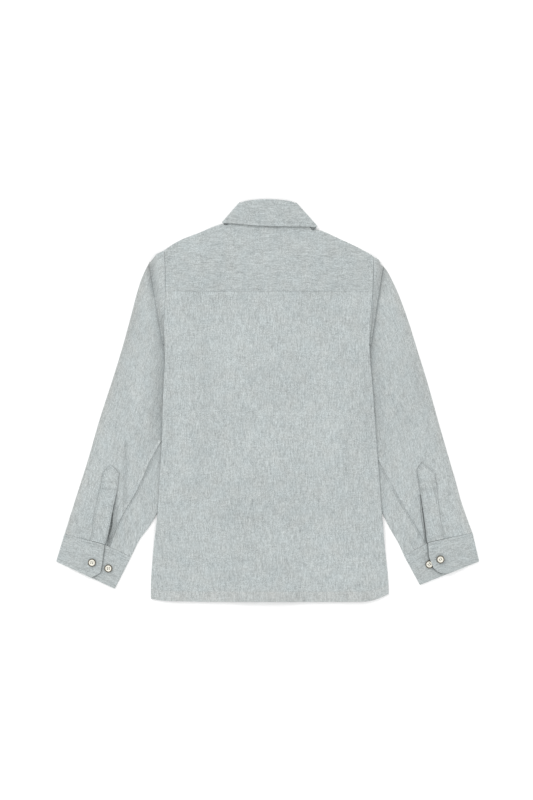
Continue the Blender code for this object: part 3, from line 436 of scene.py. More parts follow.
def support(x, y):
    """How high the sleeves and the collar's points hold the body up."""
    total = PITCH * ease(outside(x, y, FALLS_OUTLINE) - KEEP_LEVEL, SLOPE)
    for outline in UNDER_BODY:
        total = total + TUBE * ease(outside(x, y, outline) - KEEP_LEVEL, SLOPE)
    return total


def over_buttons(y):
    away = np.min([abs(y - place) for place in FRONT_BUTTON_YS], axis=0)
    return BUTTON_RISE * np.interp(away, (10.0, 31.5), (1, 0))


def front_z(x, y, layers):
    """Middle of a front, with this many layers below it at the middle of the shirt."""
    return LIE + support(x, y) + (over_buttons(y) + layers * PITCH) * ease(abs(x) - 15, 20)


def edge_room(x, y):
    """0 at the body's side edges and shoulders, 1 well inside them."""
    in_from_side = np.minimum(x - body_edge(y, "left"), body_edge(y, "right") - x)
    return (1 - ease(in_from_side - 3, 34)) * (1 - ease(shoulder_y(x) - y - 4, 30))


def back_z(x, y):
    """Middle of the back and of the yoke, with their creases."""
    rise = BUTTON_RISE * np.interp(y, (-262, -216, 182, 206), (0, 1, 1, 0))
    over_front = (rise + 2 * PITCH * ease(y - 224, 22)) * ease(abs(x) - 12, 50)
    puffed = AIR + crease_height(x, y, BODY_CREASES)
    puffed = puffed + ripples(x, y, 11, 95, 0.2, lean=0.9) + ripples(x, y, 12, 34, 0.05)
    return LIE + PITCH + support(x, y) + over_front + puffed * edge_room(x, y)


def back_relief(x, y):
    """Stitched lines and the pull of the stitches on the back panel."""
    above_hem = y - hem_y(x)
    left = x - body_edge(y, "left")
    right = body_edge(y, "right") - x
    in_from_armhole = np.minimum(left, right)
    total = groove(above_hem - HEM_BAND, 0.2, 0.8) + pucker(x, above_hem - HEM_BAND, 3, 6, 0.11)
    total = total + 0.12 * ease(above_hem - HEM_BAND, 1.2)
    below_seam = YOKE_SEAM_Y - y
    total = total + pucker(x, below_seam, 4, 9, 0.12)
    upper = 1 - ease(y - ARMPIT_Y - 6, 14)
    total = total + upper * (groove(in_from_armhole - FELLED) + pucker(y, in_from_armhole - FELLED, 5, 5, 0.12))
    return total


def yoke_relief(x, y):
    """Stitched lines on the yoke."""
    above_seam = y - YOKE_SEAM_Y
    in_from_armhole = np.minimum(x - body_edge(y, "left"), body_edge(y, "right") - x)
    total = groove(above_seam - 1.7, 0.16, 0.7) + pucker(x, above_seam, 6, 8, 0.12)
    total = total + groove(in_from_armhole - FELLED) + pucker(y, in_from_armhole - FELLED, 7, 5, 0.12)
    return total * (1 - ease(shoulder_y(x) - y - 3, 6))


def yoke_z(x, y):
    return back_z(x, y) + YOKE_STEP * ease(y - YOKE_SEAM_Y, 30)


# Shells of cloth


def unit(vectors):
    return vectors / np.maximum(np.linalg.norm(vectors, axis=-1, keepdims=True), 1e-9)


def tangents(places, axis, around=False):
    ahead = unit(np.roll(places, -1, axis) - places)
    behind = unit(places - np.roll(places, 1, axis))
    if not around:
        last = [slice(None)] * 3
        last[axis] = -1
        first = [slice(None)] * 3
        first[axis] = 0
        ahead[tuple(last)] = behind[tuple(last)]
        behind[tuple(first)] = ahead[tuple(first)]
    return unit(ahead + behind)


def new_object(name, mesh, materials):
    made = bpy.data.objects.new(name, mesh)
    bpy.context.scene.collection.objects.link(made)
    for material in materials:
        made.data.materials.append(material)
    return made


def shell(name, middle, pattern, material, keep=None, around=False, thick=THICK, sharp=55, painted_shade_and_tint=None):
    """A closed thin shell round a grid of places on its middle. pattern is where each place lies on the uncut cloth,
    as millimetres across and along the warp. keep says which cells there are, and around joins the last column to
    the first. The last argument is painted shade and tint: how much each place keeps of the cloth's red, green
    and blue."""
    rows, columns = middle.shape[:2]
    normal = unit(np.cross(tangents(middle, 1, around), tangents(middle, 0)))
    half = thick / 2 * normal
    places = np.stack([middle + half, middle - half], axis=2).reshape(-1, 3)
    cells = columns if around else columns - 1
    keep = np.ones((rows - 1, cells), bool) if keep is None else keep
    r, c = np.nonzero(keep)

    def corner(row, col):
        return 2 * (row * columns + col % columns)

    quads = np.stack([corner(r, c), corner(r, c + 1), corner(r + 1, c + 1), corner(r + 1, c)], axis=1)
    wide = pattern.shape[1]
    cloth = np.stack([r * wide + c, r * wide + c + 1, (r + 1) * wide + c + 1, (r + 1) * wide + c], axis=1)
    starts = quads.ravel()
    ends = np.roll(quads, -1, axis=1).ravel()
    count = len(places) + 1
    rim = ~np.isin(starts * count + ends, ends * count + starts)
    a, b = starts[rim], ends[rim]
    cloth_a, cloth_b = cloth.ravel()[rim], np.roll(cloth, -1, axis=1).ravel()[rim]
    rim_faces = np.stack([b, a, a + 1, b + 1], axis=1)
    faces = np.concatenate([quads, quads[:, ::-1] + 1, rim_faces])
    on_cloth = np.concatenate([cloth, cloth[:, ::-1], np.stack([cloth_b, cloth_a, cloth_a, cloth_b], axis=1)])
    used, faces = np.unique(faces, return_inverse=True)
    faces = faces.reshape(-1, 4)
    mesh = bpy.data.meshes.new(name)
    mesh.from_pydata((places[used] * MM).tolist(), [], faces.tolist())
    layer = mesh.uv_layers.new(name="Pattern")
    layer.data.foreach_set("uv", (pattern.reshape(-1, 2)[on_cloth.ravel()] * MM).ravel().astype(np.float32))
    # Painted shade and tint, kept as a colour on each point, which the material multiplies into the cloth's colour
    painted_shade_and_tint = np.ones((rows, columns, 3)) if painted_shade_and_tint is None else np.broadcast_to(painted_shade_and_tint, (rows, columns, 3))
    painted_shade_and_tint_rgba = np.ones((2 * rows * columns, 4), np.float32)
    painted_shade_and_tint_rgba[:, :3] = np.repeat(painted_shade_and_tint.reshape(-1, 3), 2, axis=0)
    painted_shade_and_tint_layer = mesh.color_attributes.new(name="Painted shade and tint", type="FLOAT_COLOR", domain="POINT")
    painted_shade_and_tint_layer.data.foreach_set("color", painted_shade_and_tint_rgba[used].ravel())
    shape = bmesh.new()
    shape.from_mesh(mesh)
    bmesh.ops.recalc_face_normals(shape, faces=shape.faces)
    if shape.calc_volume(signed=True) < 0:
        bmesh.ops.reverse_faces(shape, faces=shape.faces)
    shape.to_mesh(mesh)
    shape.free()
    mesh.shade_smooth()
    mesh.set_sharp_from_angle(angle=np.radians(sharp))
    return new_object(name, mesh, [material])


def grid(x, y, z):
    return np.stack(np.broadcast_arrays(x, y, z), axis=-1).astype(float)


def measured_across(middle, start_column=0, around=False):
    """Distance along each row of a grid from one of its columns."""
    steps = np.linalg.norm(np.diff(middle, axis=1), axis=2)
    if around:
        steps = np.concatenate([steps, np.linalg.norm(middle[:, :1] - middle[:, -1:], axis=2)], axis=1)
    total = np.concatenate([np.zeros((len(middle), 1)), np.cumsum(steps, axis=1)], axis=1)
    return total - total[:, start_column : start_column + 1]


def measured_down(middle):
    """Distance down each column of a grid."""
    steps = np.linalg.norm(np.diff(middle, axis=0), axis=2)
    return np.concatenate([np.zeros((1, middle.shape[1])), np.cumsum(steps, axis=0)])


def laid_on_cloth(across, along, shift=(0.0, 0.0)):
    """Where a grid lies on the uncut cloth, moved so that no two pieces share their streaks."""
    across, along = np.broadcast_arrays(across, along)
    return np.stack([across + shift[0], along + shift[1]], axis=-1)


def wear(piece, *nodes, slot="cloth"):
    """Ties a finished piece to the shirt and hides the solids that it stands for."""
    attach(piece, "root")
    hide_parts(*nodes)
    return piece


# Painted shade beside folds, creases and the body's edges, and tint, put into the cloth's colour

# Lines of painted shade: from one end to the other, how wide and how much darker
Shade = namedtuple("Shade", "x1 y1 x2 y2 wide deep")
SLEEVE_SHADES = (
    Shade(-166.0, 186.0, -160.0, 154.0, 7.0, 0.13),
    Shade(-198.5, -60.0, -199.5, -146.0, 3.4, 0.17),
    Shade(-186.0, 118.0, -206.0, 20.0, 12.0, 0.04),
    Shade(206.0, 50.0, 224.0, -32.0, 7.0, 0.06),
    Shade(168.0, 186.0, 163.0, 160.0, 7.0, 0.07),
    Shade(203.0, 60.0, 192.0, -40.0, 12.0, 0.03),
)
BODY_SHADES = (
    Shade(47.0, 150.0, 46.0, 120.0, 5.0, 0.05),
    Shade(126.0, 140.0, 118.0, 108.0, 6.0, 0.04),
    Shade(-114.0, 150.0, -113.0, 132.0, 3.0, 0.05),
    Shade(-97.0, 150.0, -97.0, 134.0, 3.0, 0.04),
    Shade(110.0, -44.0, 110.0, -112.0, 5.0, 0.05),
    Shade(-80.0, -161.0, 60.0, -165.0, 9.0, 0.03),
    Shade(-139.0, 60.0, -140.0, -70.0, 9.0, 0.05),
    Shade(141.0, 60.0, 144.0, -70.0, 9.0, 0.05),
)
WARM = np.array((0.022, -0.004, -0.016))


def shaded(x, y, shades):
    total = np.zeros(np.shape(x))
    for shade in shades:
        away = line_distance(x, y, ((shade.x1, shade.y1), (shade.x2, shade.y2)))
        total = total + shade.deep * np.exp(-((away / shade.wide) ** 2))
    return total


def sleeve_painted_shade_and_tint(x, y, side, from_fold):
    """Painted shadow beside the body's edge, painted shade beside the first fold and along the sleeve's shade lines,
    and warmer and a little darker along the outer edge.
    """
    from_body = outside(x, y, body_outline())
    shadow_beside_body = {"left": 0.27, "right": 0.14}[side] * np.exp(-((from_body / 15) ** 2)) * np.exp(-(((y - 5) / 85) ** 2))
    shade_beside_fold = 0.15 * np.exp(-((from_fold / 6.5) ** 2))
    kept = 1 - shadow_beside_body - shade_beside_fold - shaded(x, y, SLEEVE_SHADES)
    outer = [(row.outer_x, row.outer_y) for row in SLEEVES[side]]
    at_edge = np.exp(-((line_distance(x, y, outer) / 9) ** 2))
    return kept[..., None] * (1 - 0.035 * at_edge[..., None]) + at_edge[..., None] * WARM


def back_painted_shade_and_tint(x, y):
    """Warmer and a little lighter along the hem, painted shade in its soft folds and beside its side edges, and a slow
    random change of tone.
    """
    at_hem = ease(y - hem_y(x) - HEM_BAND + 1, 2)
    kept = 1 - shaded(x, y, BODY_SHADES) + ripples(x, y, 71, 120, 0.012)
    return kept[..., None] + at_hem[..., None] * (WARM + 0.012)


# The body's panels

SIDE_FOLD = np.radians((22.5, 45, 67.5, 90, 112.5, 135, 157.5))


def spread(left, right, shares):
    return left + (right - left) * shares


def make_back(material):
    down = np.linspace(0, 1, 166)[:, None]
    across = np.linspace(0, 1, 128)[None, :]
    levels = spread(-283.0, YOKE_SEAM_Y - GAP / 2, down)
    inset = GAP / 2 + (EDGE - GAP / 2) * ease(levels - ARMPIT_Y + 2, 4)
    x = spread(body_edge(levels, "left") + inset, body_edge(levels, "right") - inset, across)
    stretch = (YOKE_SEAM_Y - hem_y(x)) / (YOKE_SEAM_Y + 283.0)
    y = YOKE_SEAM_Y - (YOKE_SEAM_Y - levels) * stretch
    middle = grid(x, y, back_z(x, y) + back_relief(x, y))
    sides = []
    for edge, sign in ((middle[:, :1], -1), (middle[:, -1:], 1)):
        centre = edge - (0, 0, BEND)
        arc = [centre + np.array((sign * BEND * np.sin(a), 0, BEND * np.cos(a))) for a in SIDE_FOLD]
        under = [centre - (sign * step, 0, BEND) for step in (0, 2, 4, 6, SIDE_SEAM_IN)]
        for row in under[1:]:
            row[..., 2] = LIE + support(row[..., 0], row[..., 1])
        sides.append(np.concatenate([*arc, *under], axis=1))
    whole = np.concatenate([sides[0][:, ::-1], middle, sides[1]], axis=1)
    keep = np.ones((whole.shape[0] - 1, whole.shape[1] - 1), bool)
    above = levels[1:, 0] > ARMPIT_Y
    turned = sides[0].shape[1]
    keep[above, :turned] = False
    keep[above, -turned:] = False
    half = whole.shape[1] // 2
    pattern = laid_on_cloth(measured_across(whole, half) + whole[:, half : half + 1, 0], whole[..., 1])
    # Painted shade in the back's folds and along its sides, and tint along the hem
    return shell("back_cloth", whole, pattern, material, keep, painted_shade_and_tint=back_painted_shade_and_tint(whole[..., 0], whole[..., 1]))


def make_front(name, sign, layers, material):
    side = "left" if sign < 0 else "right"
    share = np.linspace(0, 1, 70)[None, :]
    down = np.linspace(0, 1, 140)[:, None]
    levels = spread(-283.0, 215.0, down)
    below_armpit = ease(levels - ARMPIT_Y + 2, 4)
    inset = GAP / 2 + (EDGE + SIDE_SEAM_IN + GAP - GAP / 2) * below_armpit
    side_x = body_edge(levels, side) - sign * inset
    x = spread(side_x, -sign * PLACKET_WIDE / 2, share)
    past_neck = (x > YOKE_NECK_LEFT + 3) & (x < YOKE_NECK_RIGHT - 3)
    top = np.where(past_neck, neck_edge(x), shoulder_y(x) - YOKE_OVER - GAP)
    y = spread(hem_y(x), top, down)
    middle = grid(x, y, front_z(x, y, layers) + ripples(x, y, 20 + sign, 60, 0.04))
    return shell(f"{name}_cloth", middle, laid_on_cloth(x, y, (sign * 400, 700)), material)


def make_front_placket(material):
    share = np.linspace(0, 1, 15)[None, :]
    down = np.linspace(0, 1, 190)[:, None]
    x = spread(-PLACKET_WIDE / 2, PLACKET_WIDE / 2, share) * np.ones_like(down)
    y = spread(hem_y(x), neck_edge(0.0), down)
    stitched = PLACKET_WIDE / 2 - 5.5 - abs(x)
    middle = grid(x, y, front_z(x, y, 0) - groove(stitched, 0.12, 0.8))
    return shell("front_placket_cloth", middle, laid_on_cloth(x, y, (0, 1500)), material, thick=STIFF_THICK)


def make_yoke(material):
    shares = [np.linspace(0, 1, count) for count in (30, 48, 30)]
    down = np.linspace(0, 1, 44)[:, None]
    at_fold = [body_edge(205.0, "left") + GAP / 2, YOKE_NECK_LEFT, YOKE_NECK_RIGHT, body_edge(198.0, "right") - GAP / 2]
    last = np.concatenate([spread(a, b, s)[: None if k == 2 else -1] for k, (a, b, s) in
                           enumerate(zip(at_fold[:-1], at_fold[1:], shares))])
    beside = (last <= YOKE_NECK_LEFT + 0.01) | (last >= YOKE_NECK_RIGHT - 0.01)
    fold = shoulder_y(last) - EDGE
    under_fall = 2 + 5 * ease(abs(last) - 28, 16)
    highest = fold - 0.4 + 14 * ease(abs(last) - 42, 14)
    hidden_edge = np.minimum(np.maximum(neck_y(last, 0) + under_fall, fall_edge_y(last) + 2.2), highest)
    past_neck = np.maximum(YOKE_NECK_LEFT - last, last - YOKE_NECK_RIGHT)
    neck = np.where(beside, fold - 0.6 - 4.5 * (1 - ease(past_neck, 12)), hidden_edge)
    y = spread(YOKE_SEAM_Y - 0.1, neck[None], down)
    y = np.concatenate([y, (neck + (fold - neck) * 0.5)[None], fold[None]])
    left = body_edge(y, "left") + GAP / 2
    right = body_edge(y, "right") - GAP / 2
    x = last * np.ones_like(y)
    x = x + (left[:, :1] - x[:, :1]) * ease(x - left[:, :1], 60) + (right[:, -1:] - x[:, -1:]) * ease(right[:, -1:] - x, 60)
    up_to_neck = len(down)
    top = grid(x, y, yoke_z(x, y) + yoke_relief(x, y))
    centre = top[-1].copy()
    centre[:, 2] = LIE + BEND + support(centre[:, 0], centre[:, 1])
    top[-1, :, 2] = centre[:, 2] + BEND
    top[-2, :, 2] = (top[-1, :, 2] + top[-3, :, 2]) / 2
    arc = [centre + np.array((0, BEND * np.sin(a), BEND * np.cos(a))) for a in SIDE_FOLD]
    under = [centre - (0, 0, BEND)]
    for down_by in np.linspace(2, YOKE_OVER - EDGE, 7):
        row = under[0] - (0, down_by, 0)
        row[0, 0] = body_edge(row[0, 1], "left") + GAP / 2
        row[-1, 0] = body_edge(row[-1, 1], "right") - GAP / 2
        row[:, 2] = LIE + support(row[:, 0], row[:, 1])
        under.append(row)
    whole = np.concatenate([top, np.array(arc), np.array(under)])
    keep = np.ones((whole.shape[0] - 1, whole.shape[1] - 1), bool)
    open_cells = ~(beside[1:] & beside[:-1]) | ((last[1:] > 0) & (last[:-1] < 0))
    keep[up_to_neck - 1 :, open_cells] = False
    pattern = laid_on_cloth(measured_down(whole), whole[..., 0], (40, 2500))
    kept = 1 + ripples(whole[..., 0], whole[..., 1], 72, 90, 0.014)
    return shell("yoke_cloth", whole, pattern, material, keep, painted_shade_and_tint=kept[..., None])


# Sleeves

UPPER_OUT = np.linspace(0, 1, 22)
UPPER_IN = np.linspace(0, 1, 22)
LOWER = np.linspace(1, 0, 34)
UPPER = len(UPPER_OUT) + len(UPPER_IN)


def cuff_top(cuff, t):
    x = np.interp(t, (0, LAP_TOP, 1), (cuff.outer_top[0], cuff.lap_top[0], cuff.inner_top[0]))
    y = np.interp(t, (0, LAP_TOP, 1), (cuff.outer_top[1], cuff.lap_top[1], cuff.inner_top[1]))
    return np.stack([x, y], axis=-1)


def air_in(x, y, side):
    """Room between a sleeve's layers: none at its edges or under the body."""
    clear_of_body = 1 - ease(outside(x, y, body_outline()) - 4, 34)
    off_edge = 1 - ease(line_distance(x, y, sleeve_outline(SLEEVES[side]), closed=True) - 3, 26)
    waves = ripples(x, y, 31 + SIGN[side], 70, 0.16, lean=0.7) + ripples(x, y, 41, 26, 0.04)
    return (SLEEVE_AIR + crease_height(x, y, SLEEVE_CREASES) + waves) * clear_of_body * off_edge


def sleeve_top_z(x, y, side):
    return LIE + PITCH + air_in(x, y, side)


def sleeve_relief(x, y, side):
    """The felled seam that runs along a sleeve, and the rows of stitches beside it."""
    off_edge = 1 - ease(line_distance(x, y, sleeve_outline(SLEEVES[side]), closed=True) - 2, 4)
    first = line_distance(x, y, SEAM_LINES[side])
    second = line_distance(x, y, SECOND_LINES[side])
    return (groove(first, 0.5, 1.1) + 0.28 * np.exp(-(((first - 3.2) / 2.4) ** 2)) + groove(second, 0.16, 0.8)) * off_edge


def slit_at(place, slit, name):
    t = np.linspace(0, 1, 801)
    x, y = place(t).T
    edge = np.interp(-y, -column(slit, "y"), column(slit, name))
    return float(t[np.argmin(abs(x - edge))])


def straight(outer, inner):
    outer = np.array(outer, float)
    inner = np.array(inner, float)
    return lambda t: outer + (inner - outer) * np.asarray(t, float)[..., None]


def sleeve_ring(edges, z_of, turned, facing, slit_out, slit_in):
    """One closed line round a flattened sleeve."""
    ends = edges(np.array((0.0, 1.0)))
    long = np.linalg.norm(ends[1] - ends[0])
    flat = np.array((*(ends[1] - ends[0]) / long, 0))
    up = np.array((*(np.sin(turned) * np.asarray(facing)), np.cos(turned)))
    inset = EDGE / long

    def centre(t):
        xy = edges(inset + (1 - 2 * inset) * np.asarray(t, float))
        return np.column_stack([xy, z_of(xy[:, 0], xy[:, 1]) * np.ones(len(xy))])

    cos = np.cos(SIDE_FOLD)[:, None]
    sin = np.sin(SIDE_FOLD)[:, None]
    upper = np.concatenate([slit_out * UPPER_OUT, slit_in + (1 - slit_in) * UPPER_IN])
    return np.concatenate([
        centre(upper) + BEND * up,
        centre([1.0]) + BEND * (cos * up + sin * flat),
        centre(LOWER) - BEND * up,
        centre([0.0]) - BEND * (cos * up + sin * flat),
    ])


def make_sleeve(side, material):
    """A sleeve from its armhole seam, through the two folds of its tuck, to its cuff, and its slit's two edges."""
    rows, sign, cuff, slit = SLEEVES[side], SIGN[side], CUFFS[side], SLITS[side]
    tip = np.array((rows[0].outer_x - sign * 0.7, rows[0].outer_y - 0.9))
    second = np.array((rows[0].inner_x, rows[0].inner_y))
    first = np.array(FIRST_FOLD[side], float)
    rings = []
    plain = straight((rows[7].outer_x, rows[7].outer_y), (rows[7].inner_x, rows[7].inner_y))
    slit_start = slit_at(plain, slit, "lap_x")
    both = (slit_start - 0.005, slit_start + 0.005)

    def lying(x, y):
        return LIE + BEND + support(x, y)

    top_y = float(shoulder_y(body_edge(205.0, side)))

    def armhole(t):
        y = top_y + (first[1] - top_y) * np.asarray(t, float)
        apart = GAP / 2 + 0.15 - 0.38 * ease(y - 118, 40)
        return np.stack([body_edge(y, side) + sign * apart, y], axis=-1)

    armpit = first + (sign * (GAP + 0.3), 0)
    halfway = straight((armhole(0.0) + tip) / 2 + (sign * 1.2, 2.4), armpit)
    rings.append(sleeve_ring(armhole, lying, 0, (0, 0), *both))
    for share in (0.33, 0.66, 1.0):

        def towards(t, share=share):
            return armhole(t) + (halfway(t) - armhole(t)) * share

        rings.append(sleeve_ring(towards, lying, 0, (0, 0), *both))

    def tuck(fold_end, outwards, level, up_first):
        along = (fold_end - tip) / np.linalg.norm(fold_end - tip)
        away = np.array((along[1], -along[0]))
        away = away if away[0] * outwards > 0 else -away
        for angle in np.radians(np.linspace(0, 180, 9)):
            shift = away * PITCH * np.sin(angle)
            z = level + PITCH * np.cos(angle)
            turned = angle if up_first else angle + np.pi
            rings.append(sleeve_ring(straight(tip + shift, fold_end + shift), lambda x, y: z, turned, away, *both))

    tuck(first, sign, LIE + BEND + 1.5 * TUBE, True)
    tuck(second, -sign, LIE + BEND + 0.5 * TUBE, False)
    shown = len(rings)
    knots = np.arange(len(rows))
    cut_from = None
    for place in np.linspace(0.3, 11, 122):
        ox, oy, ix, iy = (float(curve(knots, column(rows, field), place)) for field in SleeveRow._fields)
        share = max(0.0, (place - 8.5) / 2.5)
        line = straight((ox, oy), (ix, iy))
        cuff_line = straight(cuff.outer_top, cuff.inner_top)

        def edges(t):
            return line(t) + (cuff_top(cuff, t) - cuff_line(t) + (sign * 0.1, -0.3)) * share

        out, in_ = both
        if place > 7:
            out = both[0] + (slit_at(edges, slit, "lap_x") - both[0]) * min(1.0, place - 7)
            in_ = both[1] + (slit_at(edges, slit, "far_x") - both[1]) * min(1.0, place - 7)
            if cut_from is None and place > 8 and in_ - out > 0.012:
                cut_from = len(rings)
            in_ = max(in_, out + 0.01)
        rings.append(sleeve_ring(edges, lambda x, y: LIE + BEND, 0, (0, 0), out, in_))
    whole = np.array(rings)
    from_fold = line_distance(whole[..., 0], whole[..., 1], (tip, first))
    whole[..., 2] *= 1 - FOLD_SINK * np.exp(-((from_fold / 7.5) ** 2))
    top = whole[shown:, :UPPER]
    top[..., 2] += air_in(top[..., 0], top[..., 1], side) + sleeve_relief(top[..., 0], top[..., 1], side)
    keep = np.ones((whole.shape[0] - 1, whole.shape[1]), bool)
    keep[cut_from:, len(UPPER_OUT) - 1] = False
    along = np.concatenate([measured_down(whole), measured_down(whole)[:, :1]], axis=1)
    pattern = laid_on_cloth(measured_across(whole, around=True), -along, (sign * 900, 3000 * sign))
    # Painted shade beside the body and the first fold, and a warm tint along the outer edge
    painted_shade_and_tint = sleeve_painted_shade_and_tint(whole[..., 0], whole[..., 1], side, from_fold)
    piece = shell(f"sleeve_{side}_cloth", whole, pattern, material, keep, around=True, painted_shade_and_tint=painted_shade_and_tint)
    return piece, whole[cut_from:, len(UPPER_OUT) - 1], whole[cut_from:, len(UPPER_OUT)]


def make_seam(side, material):
    """The felled edge along a sleeve's long seam: it stands up at the seam and runs down into the sleeve."""
    at = np.linspace(0, len(SEAM_LINES[side]) - 1, 90)
    points = np.array(SEAM_LINES[side])
    knots = np.arange(len(points))
    line = np.stack([curve(knots, points[:, 0], at), curve(knots, points[:, 1], at)], axis=1)
    along = unit(np.gradient(line, axis=0))
    outwards = np.stack([along[:, 1], -along[:, 0]], axis=1)
    outwards = outwards * np.sign(outwards[:, :1] * SIGN[side])
    share = np.array((0, 0.08, 0.2, 0.4, 0.6, 0.8, 1.0))[None, :, None]
    wide = SEAM_WIDE * (1 - 0.9 * ease(line[:, 1] + 176, 28))
    places = line[:, None] + outwards[:, None] * wide[:, None, None] * share
    x = places[..., 0]
    y = places[..., 1]
    z = sleeve_top_z(x, y, side) + SEAM_HIGH - (SEAM_HIGH + 0.5) * share[..., 0] ** 1.4
    pattern = laid_on_cloth(x * 0.96 - SIGN[side] * y * 0.28, y * 0.96 + SIGN[side] * x * 0.28, (0, 5500))
    # Painted shade along the seam's standing edge
    kept = 1 - 0.22 * np.exp(-((share[..., 0] / 0.07) ** 2)) * np.ones_like(x)
    return shell(f"sleeve_{side}_seam", grid(x, y, z), pattern, material, thick=0.45, painted_shade_and_tint=kept[..., None])


def between(table, at):
    knots = np.arange(len(table))
    values = [np.interp(at, knots, column(table, field)) for field in table[0]._fields]
    return np.stack(values[:2], axis=1), np.stack(values[2:], axis=1)


def placket_z(x, y, side):
    """Middle of a sleeve's placket, which stands up a little beside its slit."""
    lap = np.interp(-y, -column(SLITS[side], "y"), column(SLITS[side], "lap_x"))
    beside = ease(abs(x - lap) - 1, 12) * (1 - ease(-y - 118, 30))
    return sleeve_top_z(x, y, side) + PITCH + 1.7 * beside


def make_placket(side, material):
    at = np.concatenate([np.linspace(0, 1, 9)[:-1], np.linspace(1, 5, 44)])
    outer, inner = between(PLACKETS[side], at)
    share = np.linspace(0, 1, 13)[None, :, None]
    places = outer[:, None] * (1 - share) + inner[:, None] * share
    x = places[..., 0]
    y = places[..., 1]
    z = placket_z(x, y, side)
    for t, deep in ((0.12, 0.14), (0.88, 0.14)):
        z = z + groove((share[..., 0] - t) * 23, deep, 0.8)
    pattern = laid_on_cloth(x * 0.96 + y * 0.28, y * 0.96 - x * 0.28, (0, 5000 + SIGN[side] * 300))
    # Painted shade along the placket's edges and round its tip, weaker down the outer edge below the tip, and darker
    # along its two box-stitch rows
    from_edge = np.minimum(share[..., 0], 1 - share[..., 0]) * 23 * np.ones_like(x)
    from_tip = np.linalg.norm(places - places[:1, :1], axis=-1)
    strength = np.where(share[..., 0] < 0.5, 0.08 + 0.22 * ease(at[:, None] - 1.1, 1.2), 0.3)
    kept = 1 - strength * np.exp(-((np.minimum(from_edge, from_tip) / 0.6) ** 2))
    box = np.exp(-(((at - 1.6) / 0.06) ** 2)) + np.exp(-(((at - 2.05) / 0.06) ** 2))
    kept = kept * (1 - 0.12 * box[:, None])
    return shell(f"sleeve_placket_{side}_cloth", grid(x, y, z), pattern, material, painted_shade_and_tint=kept[..., None])


def make_binding(side, lap_edge, far_edge, material):
    across = lap_edge - far_edge
    across[:, 2] = 0
    room = np.linalg.norm(across, axis=1, keepdims=True)
    across = across / room
    foot = np.linspace(0, 1, len(room))[:, None] ** 1.6
    wide = np.minimum(BINDING_WIDE, room - 2 * GAP - 0.5) - {"left": 2.6, "right": 0.5}[side] * foot
    share = np.linspace(0, 1, 5)[None, :, None]
    strip = (far_edge + across * GAP)[:, None] + (across * wide)[:, None] * share
    strip[..., 2] -= 0.35 * foot * np.linspace(0.3, 1, 5)
    pattern = laid_on_cloth(strip[..., 0], strip[..., 1], (0, 6000 + SIGN[side] * 300))
    # Painted shade in the slit, darker towards its foot
    kept = 1 - (0.12 + 0.36 * foot) * np.linspace(0.6, 1, 5)
    return shell(f"sleeve_binding_{side}_cloth", strip, pattern, material, painted_shade_and_tint=kept[..., None])


# Cuffs


def cuff_place(cuff, t, depth):
    top = cuff_top(cuff, t)
    outer = np.array(cuff.outer_bottom)
    inner = np.array(cuff.inner_bottom)
    bottom = outer + (inner - outer) * np.asarray(t)[..., None]
    return top + (bottom - top) * np.asarray(depth)[..., None]


def over_button(x, y, centre):
    away = np.hypot(x - centre[0], y - centre[1])
    return BUTTON_RISE * ease(away - BUTTON_R - 1.2, 14)


def lap_z(t, x, y, side):
    z = LIE + PITCH + PITCH * (1 - ease(t - 0.16, 0.16))
    if side == "right":
        z = z + over_button(x, y, (CUFF_BUTTONS[3].x, CUFF_BUTTONS[3].y))
    return z


def lap_end(cuff, depth):
    return np.interp(depth, column(cuff.lap_end, "depth"), column(cuff.lap_end, "across"))


